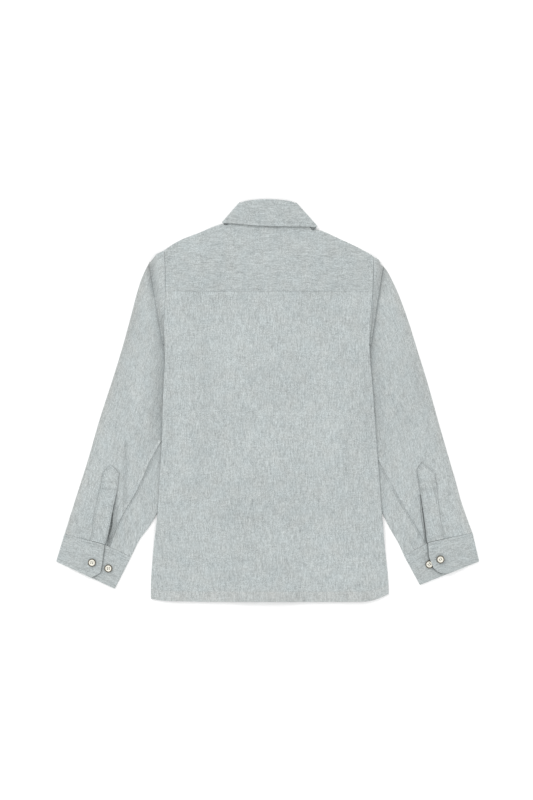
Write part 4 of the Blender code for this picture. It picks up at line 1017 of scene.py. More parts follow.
def make_cuff(side, material):
    cuff = CUFFS[side]
    rows = []
    kept = []
    depths = np.linspace(0, 1, 30)
    shares = np.linspace(1, 0, 46)
    rise = np.array((0, 0, 1))
    cos = np.cos(SIDE_FOLD)[:, None]
    sin = np.sin(SIDE_FOLD)[:, None]
    for depth in depths:
        outer = cuff_place(cuff, 0.0, depth)
        inner = cuff_place(cuff, 1.0, depth)
        long = np.linalg.norm(inner - outer)
        flat = np.array((*(inner - outer) / long, 0))
        inset = EDGE / long

        def place(t):
            return cuff_place(cuff, inset + (1 - 2 * inset) * np.asarray(t), depth * np.ones_like(t))

        t = shares * lap_end(cuff, depth)
        xy = place(t)
        down = depth * 39.0
        from_end = (lap_end(cuff, depth) - t) * long
        stitched = np.minimum(np.minimum(down - 3, 39 - 4.5 - down), from_end - 4.5)
        relief = groove(stitched, 0.18, 0.8) + 0.1 * ease(-stitched, 2) + pucker(t * 90, stitched, 51, 5, 0.06)
        lifted = LAP_LIFT[side] * ease(from_end - 0.5, 13)
        upper = np.column_stack([xy, lap_z(t, xy[:, 0], xy[:, 1], side) + relief + lifted])
        t_low = np.linspace(0, 1, 34)
        lower = np.column_stack([place(t_low), LIE * np.ones(len(t_low))])
        t_under = np.linspace(1, HIDDEN_END, 44)
        under_stitched = np.minimum(down - 3, 39 - 4.5 - down)
        under_z = LIE + PITCH + groove(under_stitched, 0.16, 0.8)
        under = np.column_stack([place(t_under), under_z * np.ones(len(t_under))])
        first = upper[-1] * (1, 1, 0) + (0, 0, LIE + BEND)
        last = under[0] * (1, 1, 0) + (0, 0, LIE + BEND)
        turn_out = first + BEND * (cos * rise - sin * flat)
        turn_in = last + BEND * (-cos * rise + sin * flat)
        rows.append(np.concatenate([upper, turn_out, lower, turn_in, under]))
        from_lap = (t_under - lap_end(cuff, depth)) * long
        shade = np.zeros(len(rows[-1]))
        shade[-len(under) :] = LAP_SHADE[side] * np.exp(-((from_lap / 1.5) ** 2))
        kept.append(1 - shade)
    whole = np.array(rows)
    pattern = laid_on_cloth(measured_down(whole), measured_across(whole), (SIGN[side] * 200, 7000))
    painted_shade_and_tint = np.array(kept)[..., None]
    return shell(f"cuff_{side}_cloth", whole, pattern, material, thick=STIFF_THICK, painted_shade_and_tint=painted_shade_and_tint)


# The collar


def collar_stations():
    knots = np.arange(len(COLLAR))
    fields = CollarRow._fields[1:]
    front = list(np.linspace(0, 3.6, 34))
    back = list(np.linspace(4.3, 9.7, 76))
    turns = np.linspace(180, 0, 13)

    def station(at, turn):
        stretch = slice(0, 5) if at <= 4 else slice(4, 11) if at <= 10 else slice(10, 15)
        values = [curve(knots[stretch], column(COLLAR, field)[stretch], at) for field in fields]
        return CollarRow(float(turn), *[float(value) for value in values])

    made = [station(at, 180) for at in front]
    made += [station(4, turn) for turn in turns]
    made += [station(at, 0) for at in back]
    made += [station(10, turn) for turn in turns[::-1]]
    made += [station(14 - at, 180) for at in front[::-1]]
    return made


def lift_at_front(x, left_half):
    return (PITCH if left_half else 2 * PITCH) * ease(abs(x) - 16, 16)



def ahead_of_roll(stations, k):
    """The way out past the roll: along the stand where the collar turns, and square to the roll away from there."""
    row = stations[k]
    along_stand = unit(np.array((row.roll_x - row.neck_x, row.roll_y - row.neck_y)))
    turns = [(other.roll_x, other.roll_y) for other in stations if other.turn == 90]
    if (row.roll_x, row.roll_y) in turns:
        return along_stand
    before = stations[max(k - 1, 0)]
    after = stations[min(k + 1, len(stations) - 1)]
    square = unit(np.array((before.roll_y - after.roll_y, after.roll_x - before.roll_x)))
    square = square * np.sign(square @ along_stand)
    from_turn = min(np.hypot(row.roll_x - x, row.roll_y - y) for x, y in turns)
    share = min(1.0, from_turn / TURN_REACH)
    return unit(along_stand * (1 - share) + square * share)


def make_collar(part, material):
    stations = collar_stations()
    middle_z = LIE + PITCH + BEND
    lines = []
    count = len(stations)
    for k, row in enumerate(stations):
        neck = np.array((row.neck_x, row.neck_y))
        roll = np.array((row.roll_x, row.roll_y))
        edge = np.array((row.edge_x, row.edge_y))
        facing = np.radians(row.turn)
        left_half = k < count / 2
        outwards = np.array((-0.8 if left_half else 0.8, 0.6)) * np.sin(facing)
        front_lift = lift_at_front(row.neck_x, left_half) if row.turn == 180 else 0.0
        stand_z = middle_z + BEND * np.cos(facing) + front_lift
        fall_z = middle_z + (BEND + PITCH) * np.cos(facing)
        middle = 1 - abs(k - (count - 1) / 2) / (count / 2)
        raised = ease(0.5 - middle, 0.5) * np.cos(facing) if row.turn < 90 else 0.0
        points = []
        if part == "stand":
            reach = 0.65 + 0.27 * ease(abs(row.neck_x) - 44, 12)
            for v in np.linspace(0, 1, 12):
                place = neck + (roll - neck) * v * reach + outwards * BEND
                points.append((*place, stand_z + 0.3 * raised * v))
        else:
            ahead = ahead_of_roll(stations, k)
            tall = max(abs(fall_z - stand_z) / 2, BEND) + 0.25 * raised
            for angle in np.radians(np.linspace(0, 165, 9)):
                share = (1 - np.cos(angle)) / 2
                place = roll + ahead * tall * np.sin(angle) + outwards * (BEND + PITCH * share)
                points.append((*place, stand_z + 0.3 * raised + (fall_z + 0.6 * raised - stand_z) * share))
            long = np.linalg.norm(edge - roll)
            for v in np.concatenate([np.linspace(0.07, 0.9, 22), (0.94, 0.97, 1.0)]):
                place = roll + (edge - roll) * v + outwards * (BEND + PITCH)
                z = fall_z + raised * (0.6 + (FALL_LIFT - 0.6) * v)
                facing_up = np.cos(facing)
                z = z + facing_up * groove((1 - v) * long - EDGE_STITCH, 0.18, 0.8)
                z = z + facing_up * pucker(k * 2.4, (1 - v) * long - EDGE_STITCH, 61, 5, 0.08)
                points.append((*place, z))
        lines.append(points)
    if part == "stand":
        for at, sign in ((0, 1), (-1, -1)):
            ends = []
            for x in np.linspace(0, STAND_LAP, 6)[1:] * sign:
                ends.append([(x, p[1], middle_z - BEND + lift_at_front(x, at == 0)) for p in lines[at]])
            lines = ends[::-1] + lines if at == 0 else lines + ends
    whole = np.array(lines, float)
    pattern = laid_on_cloth(whole[..., 1], whole[..., 0], (80, 8000 if part == "stand" else 9000))
    piece = shell(f"collar_{part}_cloth", whole, pattern, material, thick=STIFF_THICK, sharp=70)
    return piece, whole


# Finishes


def socket_names(group, name, kind, out=False, value=None):
    made = group.interface.new_socket(name=name, in_out="OUTPUT" if out else "INPUT", socket_type=kind)
    if value is not None:
        made.default_value = value
    return made


def place_node(tree, kind, at, label=None, **settings):
    made = tree.nodes.new(kind)
    made.location = at
    if label:
        made.label = label
    for name, value in settings.items():
        setattr(made, name, value)
    return made


def maths(tree, operation, a, b=None, at=(0, 0)):
    made = place_node(tree, "ShaderNodeMath", at, operation=operation)
    for k, value in enumerate((a, b)):
        if value is None:
            continue
        if isinstance(value, (int, float)):
            made.inputs[k].default_value = value
        else:
            tree.links.new(value, made.inputs[k])
    return made.outputs[0]


def uneven(tree, place, scale, at, detail=2.0, rough=0.55):
    """Noise over the cloth, with scale giving how many lumps to a millimetre across and along."""
    stretched = place_node(tree, "ShaderNodeVectorMath", at, operation="MULTIPLY")
    stretched.inputs[1].default_value = scale
    tree.links.new(place, stretched.inputs[0])
    noise = place_node(tree, "ShaderNodeTexNoise", (at[0] + 180, at[1]))
    noise.inputs["Scale"].default_value = 1.0
    noise.inputs["Detail"].default_value = detail
    noise.inputs["Roughness"].default_value = rough
    tree.links.new(stretched.outputs[0], noise.inputs["Vector"])
    return noise.outputs[0]


YARN = 0.83
FLECK = 1.45


def slubbed_weave():
    """Plain weave with slubs both ways: colour and height."""
    group = bpy.data.node_groups.new("Slubbed weave", "ShaderNodeTree")
    socket_names(group, "Pattern", "NodeSocketVector")
    socket_names(group, "Warp", "NodeSocketColor", value=(0.5, 0.54, 0.54, 1))
    socket_names(group, "Weft", "NodeSocketColor", value=(0.5, 0.54, 0.54, 1))
    # Painted shade and tint from each piece, multiplied into the colour
    socket_names(group, "Painted shade and tint", "NodeSocketColor", value=(1, 1, 1, 1))
    socket_names(group, "Streaks", "NodeSocketFloat", value=0.3)
    socket_names(group, "Flecks", "NodeSocketFloat", value=0.2)
    socket_names(group, "Colour", "NodeSocketColor", out=True)
    socket_names(group, "Height", "NodeSocketFloat", out=True)
    given = place_node(group, "NodeGroupInput", (-1400, 0))
    result = place_node(group, "NodeGroupOutput", (1100, 0))
    to_mm = place_node(group, "ShaderNodeVectorMath", (-1200, 0), operation="SCALE")
    to_mm.inputs["Scale"].default_value = 1000.0
    group.links.new(given.outputs["Pattern"], to_mm.inputs[0])
    place = to_mm.outputs[0]

    apart = place_node(group, "ShaderNodeSeparateXYZ", (-1500, 400))
    group.links.new(place, apart.inputs[0])
    warp_yarn = maths(group, "FLOOR", maths(group, "DIVIDE", apart.outputs[0], YARN, (-1350, 500)), None, (-1200, 500))
    weft_yarn = maths(group, "FLOOR", maths(group, "DIVIDE", apart.outputs[1], YARN, (-1350, 250)), None, (-1200, 250))
    segment = maths(group, "FLOOR", maths(group, "DIVIDE", apart.outputs[1], FLECK, (-1350, 0)), None, (-1200, 0))

    def along_yarn(first, second, at):
        joined = place_node(group, "ShaderNodeCombineXYZ", at)
        group.links.new(first, joined.inputs[0])
        group.links.new(second, joined.inputs[1])
        return joined.outputs[0]

    warp_slubs = uneven(group, along_yarn(warp_yarn, apart.outputs[1], (-1080, 500)), (5.17, 0.075, 1), (-950, 500))
    weft_slubs = uneven(group, along_yarn(apart.outputs[0], weft_yarn, (-1080, 250)), (0.075, 5.17, 1), (-950, 250))
    fleck = place_node(group, "ShaderNodeTexWhiteNoise", (-950, 0), noise_dimensions="2D")
    group.links.new(along_yarn(warp_yarn, segment, (-1080, 0)), fleck.inputs["Vector"])
    flecks = fleck.outputs["Value"]
    broad = uneven(group, place, (0.016, 0.011, 1), (-950, -250))
    yarn_wander = uneven(group, place, (0.25, 0.25, 1), (-950, -450))

    wander = maths(group, "MULTIPLY", yarn_wander, 0.9, (-550, -450))
    across = maths(group, "ADD", apart.outputs[0], wander, (-550, -600))
    along = maths(group, "ADD", apart.outputs[1], wander, (-550, -750))
    waves = []
    for value, high in ((across, -600), (along, -750)):
        turned = maths(group, "MULTIPLY", value, np.pi / 0.52, (-380, high))
        waves.append(maths(group, "SINE", turned, None, (-220, high)))
    over_under = maths(group, "MULTIPLY", waves[0], waves[1], (-60, -680))
    warp_on_top = maths(group, "MULTIPLY_ADD", over_under, 0.5, (100, -680))
    warp_on_top.node.inputs[2].default_value = 0.5
    yarn_round = maths(group, "MULTIPLY", maths(group, "ABSOLUTE", waves[0], None, (-60, -560)),
                       maths(group, "ABSOLUTE", waves[1], None, (-60, -820)), (100, -560))

    yarns = place_node(group, "ShaderNodeMix", (300, 300), data_type="RGBA")
    group.links.new(warp_on_top, yarns.inputs["Factor"])
    group.links.new(given.outputs["Weft"], yarns.inputs[6])
    group.links.new(given.outputs["Warp"], yarns.inputs[7])

    def centred(value, strength, at):
        taken = maths(group, "SUBTRACT", value, 0.5, at)
        return maths(group, "MULTIPLY", taken, strength, (at[0] + 160, at[1]))

    streaks = maths(group, "ADD", centred(warp_slubs, 1.0, (-550, 500)), centred(weft_slubs, 0.45, (-550, 250)),
                    (-200, 400))
    streaks = maths(group, "MULTIPLY", streaks, given.outputs["Streaks"], (-40, 400))
    specks = maths(group, "MULTIPLY", centred(flecks, 1.0, (-550, 0)), given.outputs["Flecks"], (-200, 0))
    shade = maths(group, "ADD", maths(group, "ADD", streaks, specks, (120, 200)),
                  centred(broad, 0.14, (-550, -250)), (260, 100))
    bright = maths(group, "ADD", shade, 1.0, (420, 100))
    toned = place_node(group, "ShaderNodeVectorMath", (620, 200), operation="SCALE")
    group.links.new(yarns.outputs[2], toned.inputs[0])
    group.links.new(bright, toned.inputs["Scale"])
    warmth = place_node(group, "ShaderNodeMix", (620, -50), data_type="RGBA")
    warmth.inputs[6].default_value = (0.972, 1.0, 1.018, 1)
    warmth.inputs[7].default_value = (1.03, 1.0, 0.985, 1)
    tints = uneven(group, place, (0.045, 0.05, 1), (-950, -900), detail=1.0)
    group.links.new(tints, warmth.inputs["Factor"])
    tinted = place_node(group, "ShaderNodeVectorMath", (820, 100), operation="MULTIPLY")
    group.links.new(toned.outputs[0], tinted.inputs[0])
    group.links.new(warmth.outputs[2], tinted.inputs[1])
    # Multiply in the painted shade and tint
    with_painted_shade = place_node(group, "ShaderNodeVectorMath", (960, 100), operation="MULTIPLY")
    group.links.new(tinted.outputs[0], with_painted_shade.inputs[0])
    group.links.new(given.outputs["Painted shade and tint"], with_painted_shade.inputs[1])
    group.links.new(with_painted_shade.outputs[0], result.inputs["Colour"])
    height = maths(group, "ADD", maths(group, "MULTIPLY", yarn_round, 0.5, (300, -560)),
                   maths(group, "ADD", warp_slubs, weft_slubs, (-380, -300)), (620, -400))
    group.links.new(height, result.inputs["Height"])
    return group


def shirting(name, weave, warp, weft, streaks=0.84, flecks=0.36):
    material = bpy.data.materials.new(name)
    material.use_nodes = True
    tree = material.node_tree
    shader = tree.nodes["Principled BSDF"]
    shader.inputs["Roughness"].default_value = 0.88
    shader.inputs["Specular IOR Level"].default_value = 0.22
    shader.inputs["Sheen Weight"].default_value = 0.18
    shader.inputs["Sheen Roughness"].default_value = 0.45
    shader.inputs["Sheen Tint"].default_value = (0.85, 0.9, 0.92, 1)
    place = place_node(tree, "ShaderNodeUVMap", (-900, 0), uv_map="Pattern")
    cloth = place_node(tree, "ShaderNodeGroup", (-650, 0), node_tree=weave)
    cloth.inputs["Warp"].default_value = (*warp, 1)
    cloth.inputs["Weft"].default_value = (*weft, 1)
    cloth.inputs["Streaks"].default_value = streaks
    cloth.inputs["Flecks"].default_value = flecks
    bump = place_node(tree, "ShaderNodeBump", (-300, -250))
    bump.inputs["Strength"].default_value = 0.5
    bump.inputs["Distance"].default_value = 0.00018
    # The painted shade and tint that each piece carries on its points
    painted_shade_and_tint = place_node(tree, "ShaderNodeAttribute", (-900, -200), attribute_name="Painted shade and tint")
    tree.links.new(place.outputs[0], cloth.inputs["Pattern"])
    tree.links.new(painted_shade_and_tint.outputs["Color"], cloth.inputs["Painted shade and tint"])
    tree.links.new(cloth.outputs["Colour"], shader.inputs["Base Color"])
    tree.links.new(cloth.outputs["Height"], bump.inputs["Height"])
    tree.links.new(bump.outputs[0], shader.inputs["Normal"])
    return material


def grained(name, light, dark, scale, roughness, coat=0.0, bump_by=0.0):
    """A hard finish with slow changes of colour, for buttons and thread."""
    material = bpy.data.materials.new(name)
    material.use_nodes = True
    tree = material.node_tree
    shader = tree.nodes["Principled BSDF"]
    shader.inputs["Roughness"].default_value = roughness
    shader.inputs["Coat Weight"].default_value = coat
    shader.inputs["Coat Roughness"].default_value = 0.12
    place = place_node(tree, "ShaderNodeTexCoord", (-900, 0))
    noise = place_node(tree, "ShaderNodeTexNoise", (-650, 0))
    noise.inputs["Scale"].default_value = scale
    noise.inputs["Detail"].default_value = 3.0
    mix = place_node(tree, "ShaderNodeMix", (-350, 0), data_type="RGBA")
    mix.inputs[6].default_value = (*dark, 1)
    mix.inputs[7].default_value = (*light, 1)
    tree.links.new(place.outputs["Object"], noise.inputs["Vector"])
    tree.links.new(noise.outputs[0], mix.inputs["Factor"])
    tree.links.new(mix.outputs[2], shader.inputs["Base Color"])
    if bump_by:
        bump = place_node(tree, "ShaderNodeBump", (-300, -250))
        bump.inputs["Strength"].default_value = 0.4
        bump.inputs["Distance"].default_value = bump_by
        tree.links.new(noise.outputs[0], bump.inputs["Height"])
        tree.links.new(bump.outputs[0], shader.inputs["Normal"])
    return material


# Sewing

THREAD_R = 0.16
STITCH = 2.3
STITCH_EVERY = 3.0
RING = np.linspace(0, 2 * np.pi, 7)[:-1]
STITCH_RINGS = ((-1.0, 0.35, -0.7), (-0.7, 0.9, 0.1), (0.0, 1.0, 0.5), (0.7, 0.9, 0.1), (1.0, 0.35, -0.7))


def evenly(points, every):
    """Places at even steps along a line, with the directions there."""
    points = np.asarray(points, float)
    steps = np.linalg.norm(np.diff(points, axis=0), axis=1)
    at = np.concatenate([[0], np.cumsum(steps)])
    count = max(2, int(at[-1] / every))
    wanted = (np.arange(count) + 0.5) * at[-1] / count
    places = np.stack([np.interp(wanted, at, points[:, k]) for k in range(3)], axis=1)
    ahead = np.stack([np.interp(wanted + 0.4, at, points[:, k]) for k in range(3)], axis=1)
    behind = np.stack([np.interp(wanted - 0.4, at, points[:, k]) for k in range(3)], axis=1)
    return places, unit(ahead - behind)


def sew(name, lines, material, up=1, radius=THREAD_R):
    """Rows of stitches along lines on the cloth's face. up is -1 on a face that looks down."""
    vertices = []
    faces = []
    for line in lines:
        places, along = evenly(line, STITCH_EVERY)
        rise = np.zeros_like(along)
        rise[:, 2] = up
        side = unit(np.cross(along, rise))
        rise = np.cross(side, along)
        for place, ahead, across, high in zip(places, along, side, rise):
            start = len(vertices)
            for run, share, lift in STITCH_RINGS:
                centre = place + ahead * run * STITCH / 2 + high * lift * radius
                for angle in RING:
                    vertices.append(centre + radius * share * (np.cos(angle) * across + np.sin(angle) * high))
            sides = len(RING)
            for ring in range(len(STITCH_RINGS) - 1):
                for k in range(sides):
                    a = start + ring * sides + k
                    b = start + ring * sides + (k + 1) % sides
                    faces.append((a, b, b + sides, a + sides))
            faces.append(tuple(start + k for k in range(sides))[::-1])
            faces.append(tuple(start + (len(STITCH_RINGS) - 1) * sides + k for k in range(sides)))
    vertices = np.array(vertices)
    vertices[:, 2] = np.maximum(vertices[:, 2], 0)
    mesh = bpy.data.meshes.new(name)
    mesh.from_pydata((vertices * MM).tolist(), [], faces)
    mesh.shade_smooth()
    piece = new_object(name, mesh, [material])
    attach(piece, "root")
    return piece


def on_face(xy, z_of, thick=THICK, up=1):
    """A line on a face of the cloth whose middle is at z_of."""
    xy = np.asarray(xy, float)
    return np.column_stack([xy, z_of(xy[:, 0], xy[:, 1]) + up * thick / 2])


def filled(points, every=2.0):
    """A line of points with more between them."""
    points = np.asarray(points, float)
    at = np.concatenate([[0], np.cumsum(np.linalg.norm(np.diff(points, axis=0), axis=1))])
    wanted = np.linspace(0, at[-1], max(2, int(at[-1] / every)))
    return np.stack([np.interp(wanted, at, points[:, k]) for k in range(points.shape[1])], axis=1)


def sew_back(thread):
    x = np.linspace(body_edge(-268.0, "left") + 2, body_edge(-262.0, "right") - 2, 160)
    hem = np.stack([x, hem_y(x) + HEM_BAND], axis=1)
    y = np.linspace(ARMPIT_Y + 14, YOKE_SEAM_Y - 2, 40)
    sides = [np.stack([body_edge(y, name) - SIGN[name] * FELLED, y], axis=1) for name in ("left", "right")]
    return sew("back_stitches", [on_face(line, lambda x, y: back_z(x, y) + back_relief(x, y)) for line in (hem, *sides)],
               thread)


def sew_yoke(thread):
    x = np.linspace(body_edge(YOKE_SEAM_Y, "left") + 2, body_edge(YOKE_SEAM_Y, "right") - 2, 150)
    seam = np.stack([x, np.full_like(x, YOKE_SEAM_Y + 1.7)], axis=1)
    lines = [seam]
    for name in ("left", "right"):
        top = shoulder_y(body_edge(200.0, name)) - 8
        y = np.linspace(YOKE_SEAM_Y + 3, top, 40)
        lines.append(np.stack([body_edge(y, name) - SIGN[name] * FELLED, y], axis=1))
    return sew("yoke_stitches", [on_face(line, lambda x, y: yoke_z(x, y) + yoke_relief(x, y)) for line in lines], thread)


def sew_sleeve(side, thread):
    def face(x, y):
        return sleeve_top_z(x, y, side) + sleeve_relief(x, y, side)

    sign = SIGN[side]
    seam = filled(SEAM_LINES[side])
    beside = seam + (-sign * 2.2, -1.2)
    clear = outside(beside[:, 0], beside[:, 1], body_outline()) > 3
    second = filled(SECOND_LINES[side])
    shown = outside(second[:, 0], second[:, 1], body_outline()) > 3
    return sew(f"sleeve_{side}_stitches", [on_face(beside[clear][:-4], face), on_face(second[shown][:-2], face)], thread)


def sew_placket(side, thread):
    def face(x, y):
        return placket_z(x, y, side)

    at = np.linspace(1, 4.9, 60)
    outer, inner = between(PLACKETS[side], at)
    tip = np.array(PLACKETS[side][0][:2])
    lines = []
    left = outer + (inner - outer) * 0.1
    right = outer + (inner - outer) * 0.9
    peak = tip + (0.8, -3.2)
    lines.append(on_face(filled(np.concatenate([left[::-1], [peak], right])), face))
    for share in (1.6, 2.05):
        a, b = between(PLACKETS[side], np.array([share]))
        lines.append(on_face(filled([a[0] + (b[0] - a[0]) * 0.12, b[0] - (b[0] - a[0]) * 0.12]), face))
    return sew(f"sleeve_placket_{side}_stitches", lines, thread)


def sew_cuff(side, thread):
    cuff = CUFFS[side]

    def face(t, depth):
        inset = EDGE / 90
        xy = cuff_place(cuff, inset + (1 - 2 * inset) * t, depth)
        return np.column_stack([xy, lap_z(t, xy[:, 0], xy[:, 1], side) + STIFF_THICK / 2 - 0.05])

    margin = 4.5 / 39
    depth = np.linspace(3.0 / 39, 1 - margin, 40)
    end = lap_end(cuff, depth) - 4.5 / 90
    top = np.linspace(0.02, end[0], 50)
    bottom = np.linspace(end[-1], 0.02, 50)
    t = np.concatenate([top, end, bottom])
    d = np.concatenate([np.full(50, depth[0]), depth, np.full(50, depth[-1])])
    lap = face(t, d)
    past = np.linspace(lap_end(cuff, 0.5) + 0.02, 0.97, 40)

    def under_face(t, depth):
        inset = EDGE / 90
        xy = cuff_place(cuff, inset + (1 - 2 * inset) * t, np.full_like(t, depth))
        return np.column_stack([xy, np.full(len(t), LIE + PITCH + STIFF_THICK / 2 - 0.05)])

    rows = [lap, under_face(past, 3.0 / 39), under_face(past, 1 - margin)]
    return sew(f"cuff_{side}_stitches", rows, thread)


def sew_collar(whole, thread):
    """A row of stitches near the fall's edge, on the side that faces out."""
    roll_rows = 9
    fall = whole[:, roll_rows:]
    steps = np.linalg.norm(fall[:, -1] - fall[:, 0], axis=1) / 0.93
    share = 1 - EDGE_STITCH / steps
    shares = np.concatenate([np.linspace(0.07, 0.9, 22), (0.94, 0.97, 1.0)])
    normal = unit(np.cross(tangents(whole, 1), tangents(whole, 0)))[:, roll_rows:]
    facing = np.sign(normal[len(normal) // 2, 5, 2])
    points = []
    for k in range(len(fall)):
        column_at = np.interp(share[k], shares, np.arange(len(shares)))
        low = int(column_at)
        high = min(low + 1, fall.shape[1] - 1)
        part = column_at - low
        place = fall[k, low] * (1 - part) + fall[k, high] * part
        out = unit(normal[k, low] * (1 - part) + normal[k, high] * part) * facing
        points.append(place + out * STIFF_THICK / 2)
    points = np.array(points)
    front = 34
    over_yoke = sew("collar_stitches", [points[front + 8 : -front - 8]], thread)
    below = sew("collar_point_stitches", [points[: front - 1], points[-front + 1 :]], thread, up=-1)
    return [over_yoke, below]


def sew_front(thread):
    y = np.linspace(-276, 194, 240)
    lines = []
    for x in (-PLACKET_WIDE / 2 + 5.5, PLACKET_WIDE / 2 - 5.5):
        line = np.stack([np.full_like(y, x), y], axis=1)
        lines.append(on_face(line, lambda a, b: front_z(a, b, 0), STIFF_THICK, up=-1))
    for side, layers in (("left", 1), ("right", 2)):
        sign = SIGN[side]
        x = np.linspace(sign * 20, body_edge(-262.0, side) - sign * 13, 60)
        line = np.stack([x, hem_y(x) + HEM_BAND], axis=1)
        lines.append(on_face(line, lambda a, b, n=layers: front_z(a, b, n), THICK, up=-1))
    return sew("front_stitches", lines, thread, up=-1)


def make_buttonhole(name, x, y, z, turned, thread, up=1, long=13.0):
    """A raised oval of close stitches round a cut."""
    vertices = []
    faces = []
    count = 64
    angle = np.linspace(0, 2 * np.pi, count, endpoint=False)
    across = np.array((np.cos(turned), np.sin(turned), 0))
    beside = np.array((-np.sin(turned), np.cos(turned), 0))
    sides = 8
    for k, a in enumerate(angle):
        centre = across * np.cos(a) * long / 2 + beside * np.sin(a) * 1.1
        out = unit(across * np.cos(a) * 1.1 + beside * np.sin(a) * long / 2)
        ribbed = 0.5 + 0.07 * (k % 2)
        for b in np.linspace(0, 2 * np.pi, sides, endpoint=False):
            vertices.append(np.array((x, y, z)) + centre + ribbed * (np.cos(b) * out + np.array((0, 0, up * np.sin(b) * 0.6))))
    for k in range(count):
        for b in range(sides):
            n, m = (k + 1) % count, (b + 1) % sides
            faces.append((k * sides + b, n * sides + b, n * sides + m, k * sides + m))
    mesh = bpy.data.meshes.new(name)
    mesh.from_pydata((np.array(vertices) * MM).tolist(), [], faces)
    mesh.shade_smooth()
    piece = new_object(name, mesh, [thread])
    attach(piece, "root")
    return piece


# Buttons

BUTTON_SIDES = 64
FACE_LINE = (
    (0.0, 0.60), (0.30, 0.60), (0.48, 0.61), (0.60, 0.64), (0.68, 0.72), (0.74, 0.82),
)
RIM_LINE = ((0.74, 0.82), (0.80, 0.93), (0.87, 0.99), (0.93, 0.97), (0.98, 0.86), (1.0, 0.66), (1.0, 0.40), (0.96, 0.14),
            (0.88, 0.02), (0.80, 0.0))
BACK_LINE = ((0.80, 0.0), (0.5, 0.03), (0.0, 0.06))
HOLE_OUT = 1.3
HOLE_R = 0.72


def button_mesh(face, rim, thread):
    """One four-holed dished button, face up on the origin, with its crossing threads."""
    shape = bmesh.new()
    line = list(FACE_LINE) + list(RIM_LINE[1:]) + list(BACK_LINE[1:])
    rim_from, rim_to = len(FACE_LINE) - 1, len(FACE_LINE) + len(RIM_LINE) - 2
    rings = []
    for radius, height in line:
        if radius == 0:
            rings.append([shape.verts.new((0, 0, height * BUTTON_HIGH * MM))])
            continue
        rings.append([
            shape.verts.new((
                radius * BUTTON_R * np.cos(a) * MM, radius * BUTTON_R * np.sin(a) * MM, height * BUTTON_HIGH * MM))
            for a in np.linspace(0, 2 * np.pi, BUTTON_SIDES, endpoint=False)
        ])
    for k, (a, b) in enumerate(zip(rings, rings[1:])):
        dark = rim_from <= k < rim_to
        for n in range(BUTTON_SIDES):
            m = (n + 1) % BUTTON_SIDES
            if len(a) == 1:
                made = shape.faces.new((a[0], b[n], b[m]))
            elif len(b) == 1:
                made = shape.faces.new((a[m], a[n], b[0]))
            else:
                made = shape.faces.new((a[n], b[n], b[m], a[m]))
            made.material_index = 1 if dark else 0
            made.smooth = True
    bmesh.ops.recalc_face_normals(shape, faces=shape.faces)
    mesh = bpy.data.meshes.new("button")
    shape.to_mesh(mesh)
    shape.free()
    blank = new_object("button_blank", mesh, [face, rim])
    cutters = bmesh.new()
    for sx in (-1, 1):
        for sy in (-1, 1):
            made = bmesh.ops.create_cone(cutters, cap_ends=True, segments=20, radius1=HOLE_R * MM, radius2=HOLE_R * MM,
                                         depth=8 * MM)
            bmesh.ops.translate(cutters, verts=made["verts"], vec=(sx * HOLE_OUT * MM, sy * HOLE_OUT * MM, 1 * MM))
    drill_mesh = bpy.data.meshes.new("drill")
    cutters.to_mesh(drill_mesh)
    cutters.free()
    drill = new_object("drill", drill_mesh, [face])
    cut = blank.modifiers.new("holes", "BOOLEAN")
    cut.object = drill
    cut.operation = "DIFFERENCE"
    cut.solver = "EXACT"
    bpy.context.view_layer.update()
    done = bpy.data.meshes.new_from_object(blank.evaluated_get(bpy.context.evaluated_depsgraph_get()))
    bpy.data.objects.remove(drill)
    bpy.data.objects.remove(blank)
    done.materials.append(thread)
    joined = bmesh.new()
    joined.from_mesh(done)
    for sx in (-1, 1):
        for layer in (-1, 1):
            add_thread(joined, sx * HOLE_OUT + layer * 0.2, 0.60 * BUTTON_HIGH)
    joined.to_mesh(done)
    joined.free()
    done.set_sharp_from_angle(angle=np.radians(40))
    return done


def add_thread(shape, x, top):
    """A loop of thread over the bridge between two holes and down through them."""
    path = [(-HOLE_OUT, -0.1), (-HOLE_OUT, top - 0.25), (-HOLE_OUT * 0.8, top + 0.1), (-HOLE_OUT * 0.4, top + 0.26),
            (HOLE_OUT * 0.4, top + 0.26), (HOLE_OUT * 0.8, top + 0.1), (HOLE_OUT, top - 0.25), (HOLE_OUT, -0.1)]
    rings = []
    for k, (y, z) in enumerate(path):
        before, after = path[max(0, k - 1)], path[min(len(path) - 1, k + 1)]
        ahead = unit(np.array((after[0] - before[0], after[1] - before[1])))
        ring = []
        for a in RING:
            out = 0.16 * np.cos(a)
            ring.append(shape.verts.new((
                (x + out) * MM, (y - 0.16 * np.sin(a) * ahead[1]) * MM, (z + 0.16 * np.sin(a) * ahead[0]) * MM)))
        rings.append(ring)
    for a, b in zip(rings, rings[1:]):
        for n in range(len(RING)):
            m = (n + 1) % len(RING)
            made = shape.faces.new((a[n], b[n], b[m], a[m]))
            made.material_index = 2
            made.smooth = True
    for ring, order in ((rings[0], 1), (rings[-1], -1)):
        made = shape.faces.new(ring[::order])
        made.material_index = 2


def place_button(mesh, node, x, y, base, up=1, turned=0.0):
    piece = bpy.data.objects.new(f"{node}_sewn", mesh)
    bpy.context.scene.collection.objects.link(piece)
    piece.location = (x * MM, y * MM, base * MM)
    piece.rotation_euler = (0 if up > 0 else np.pi, 0, turned)
    return wear(piece, node, slot="buttons")


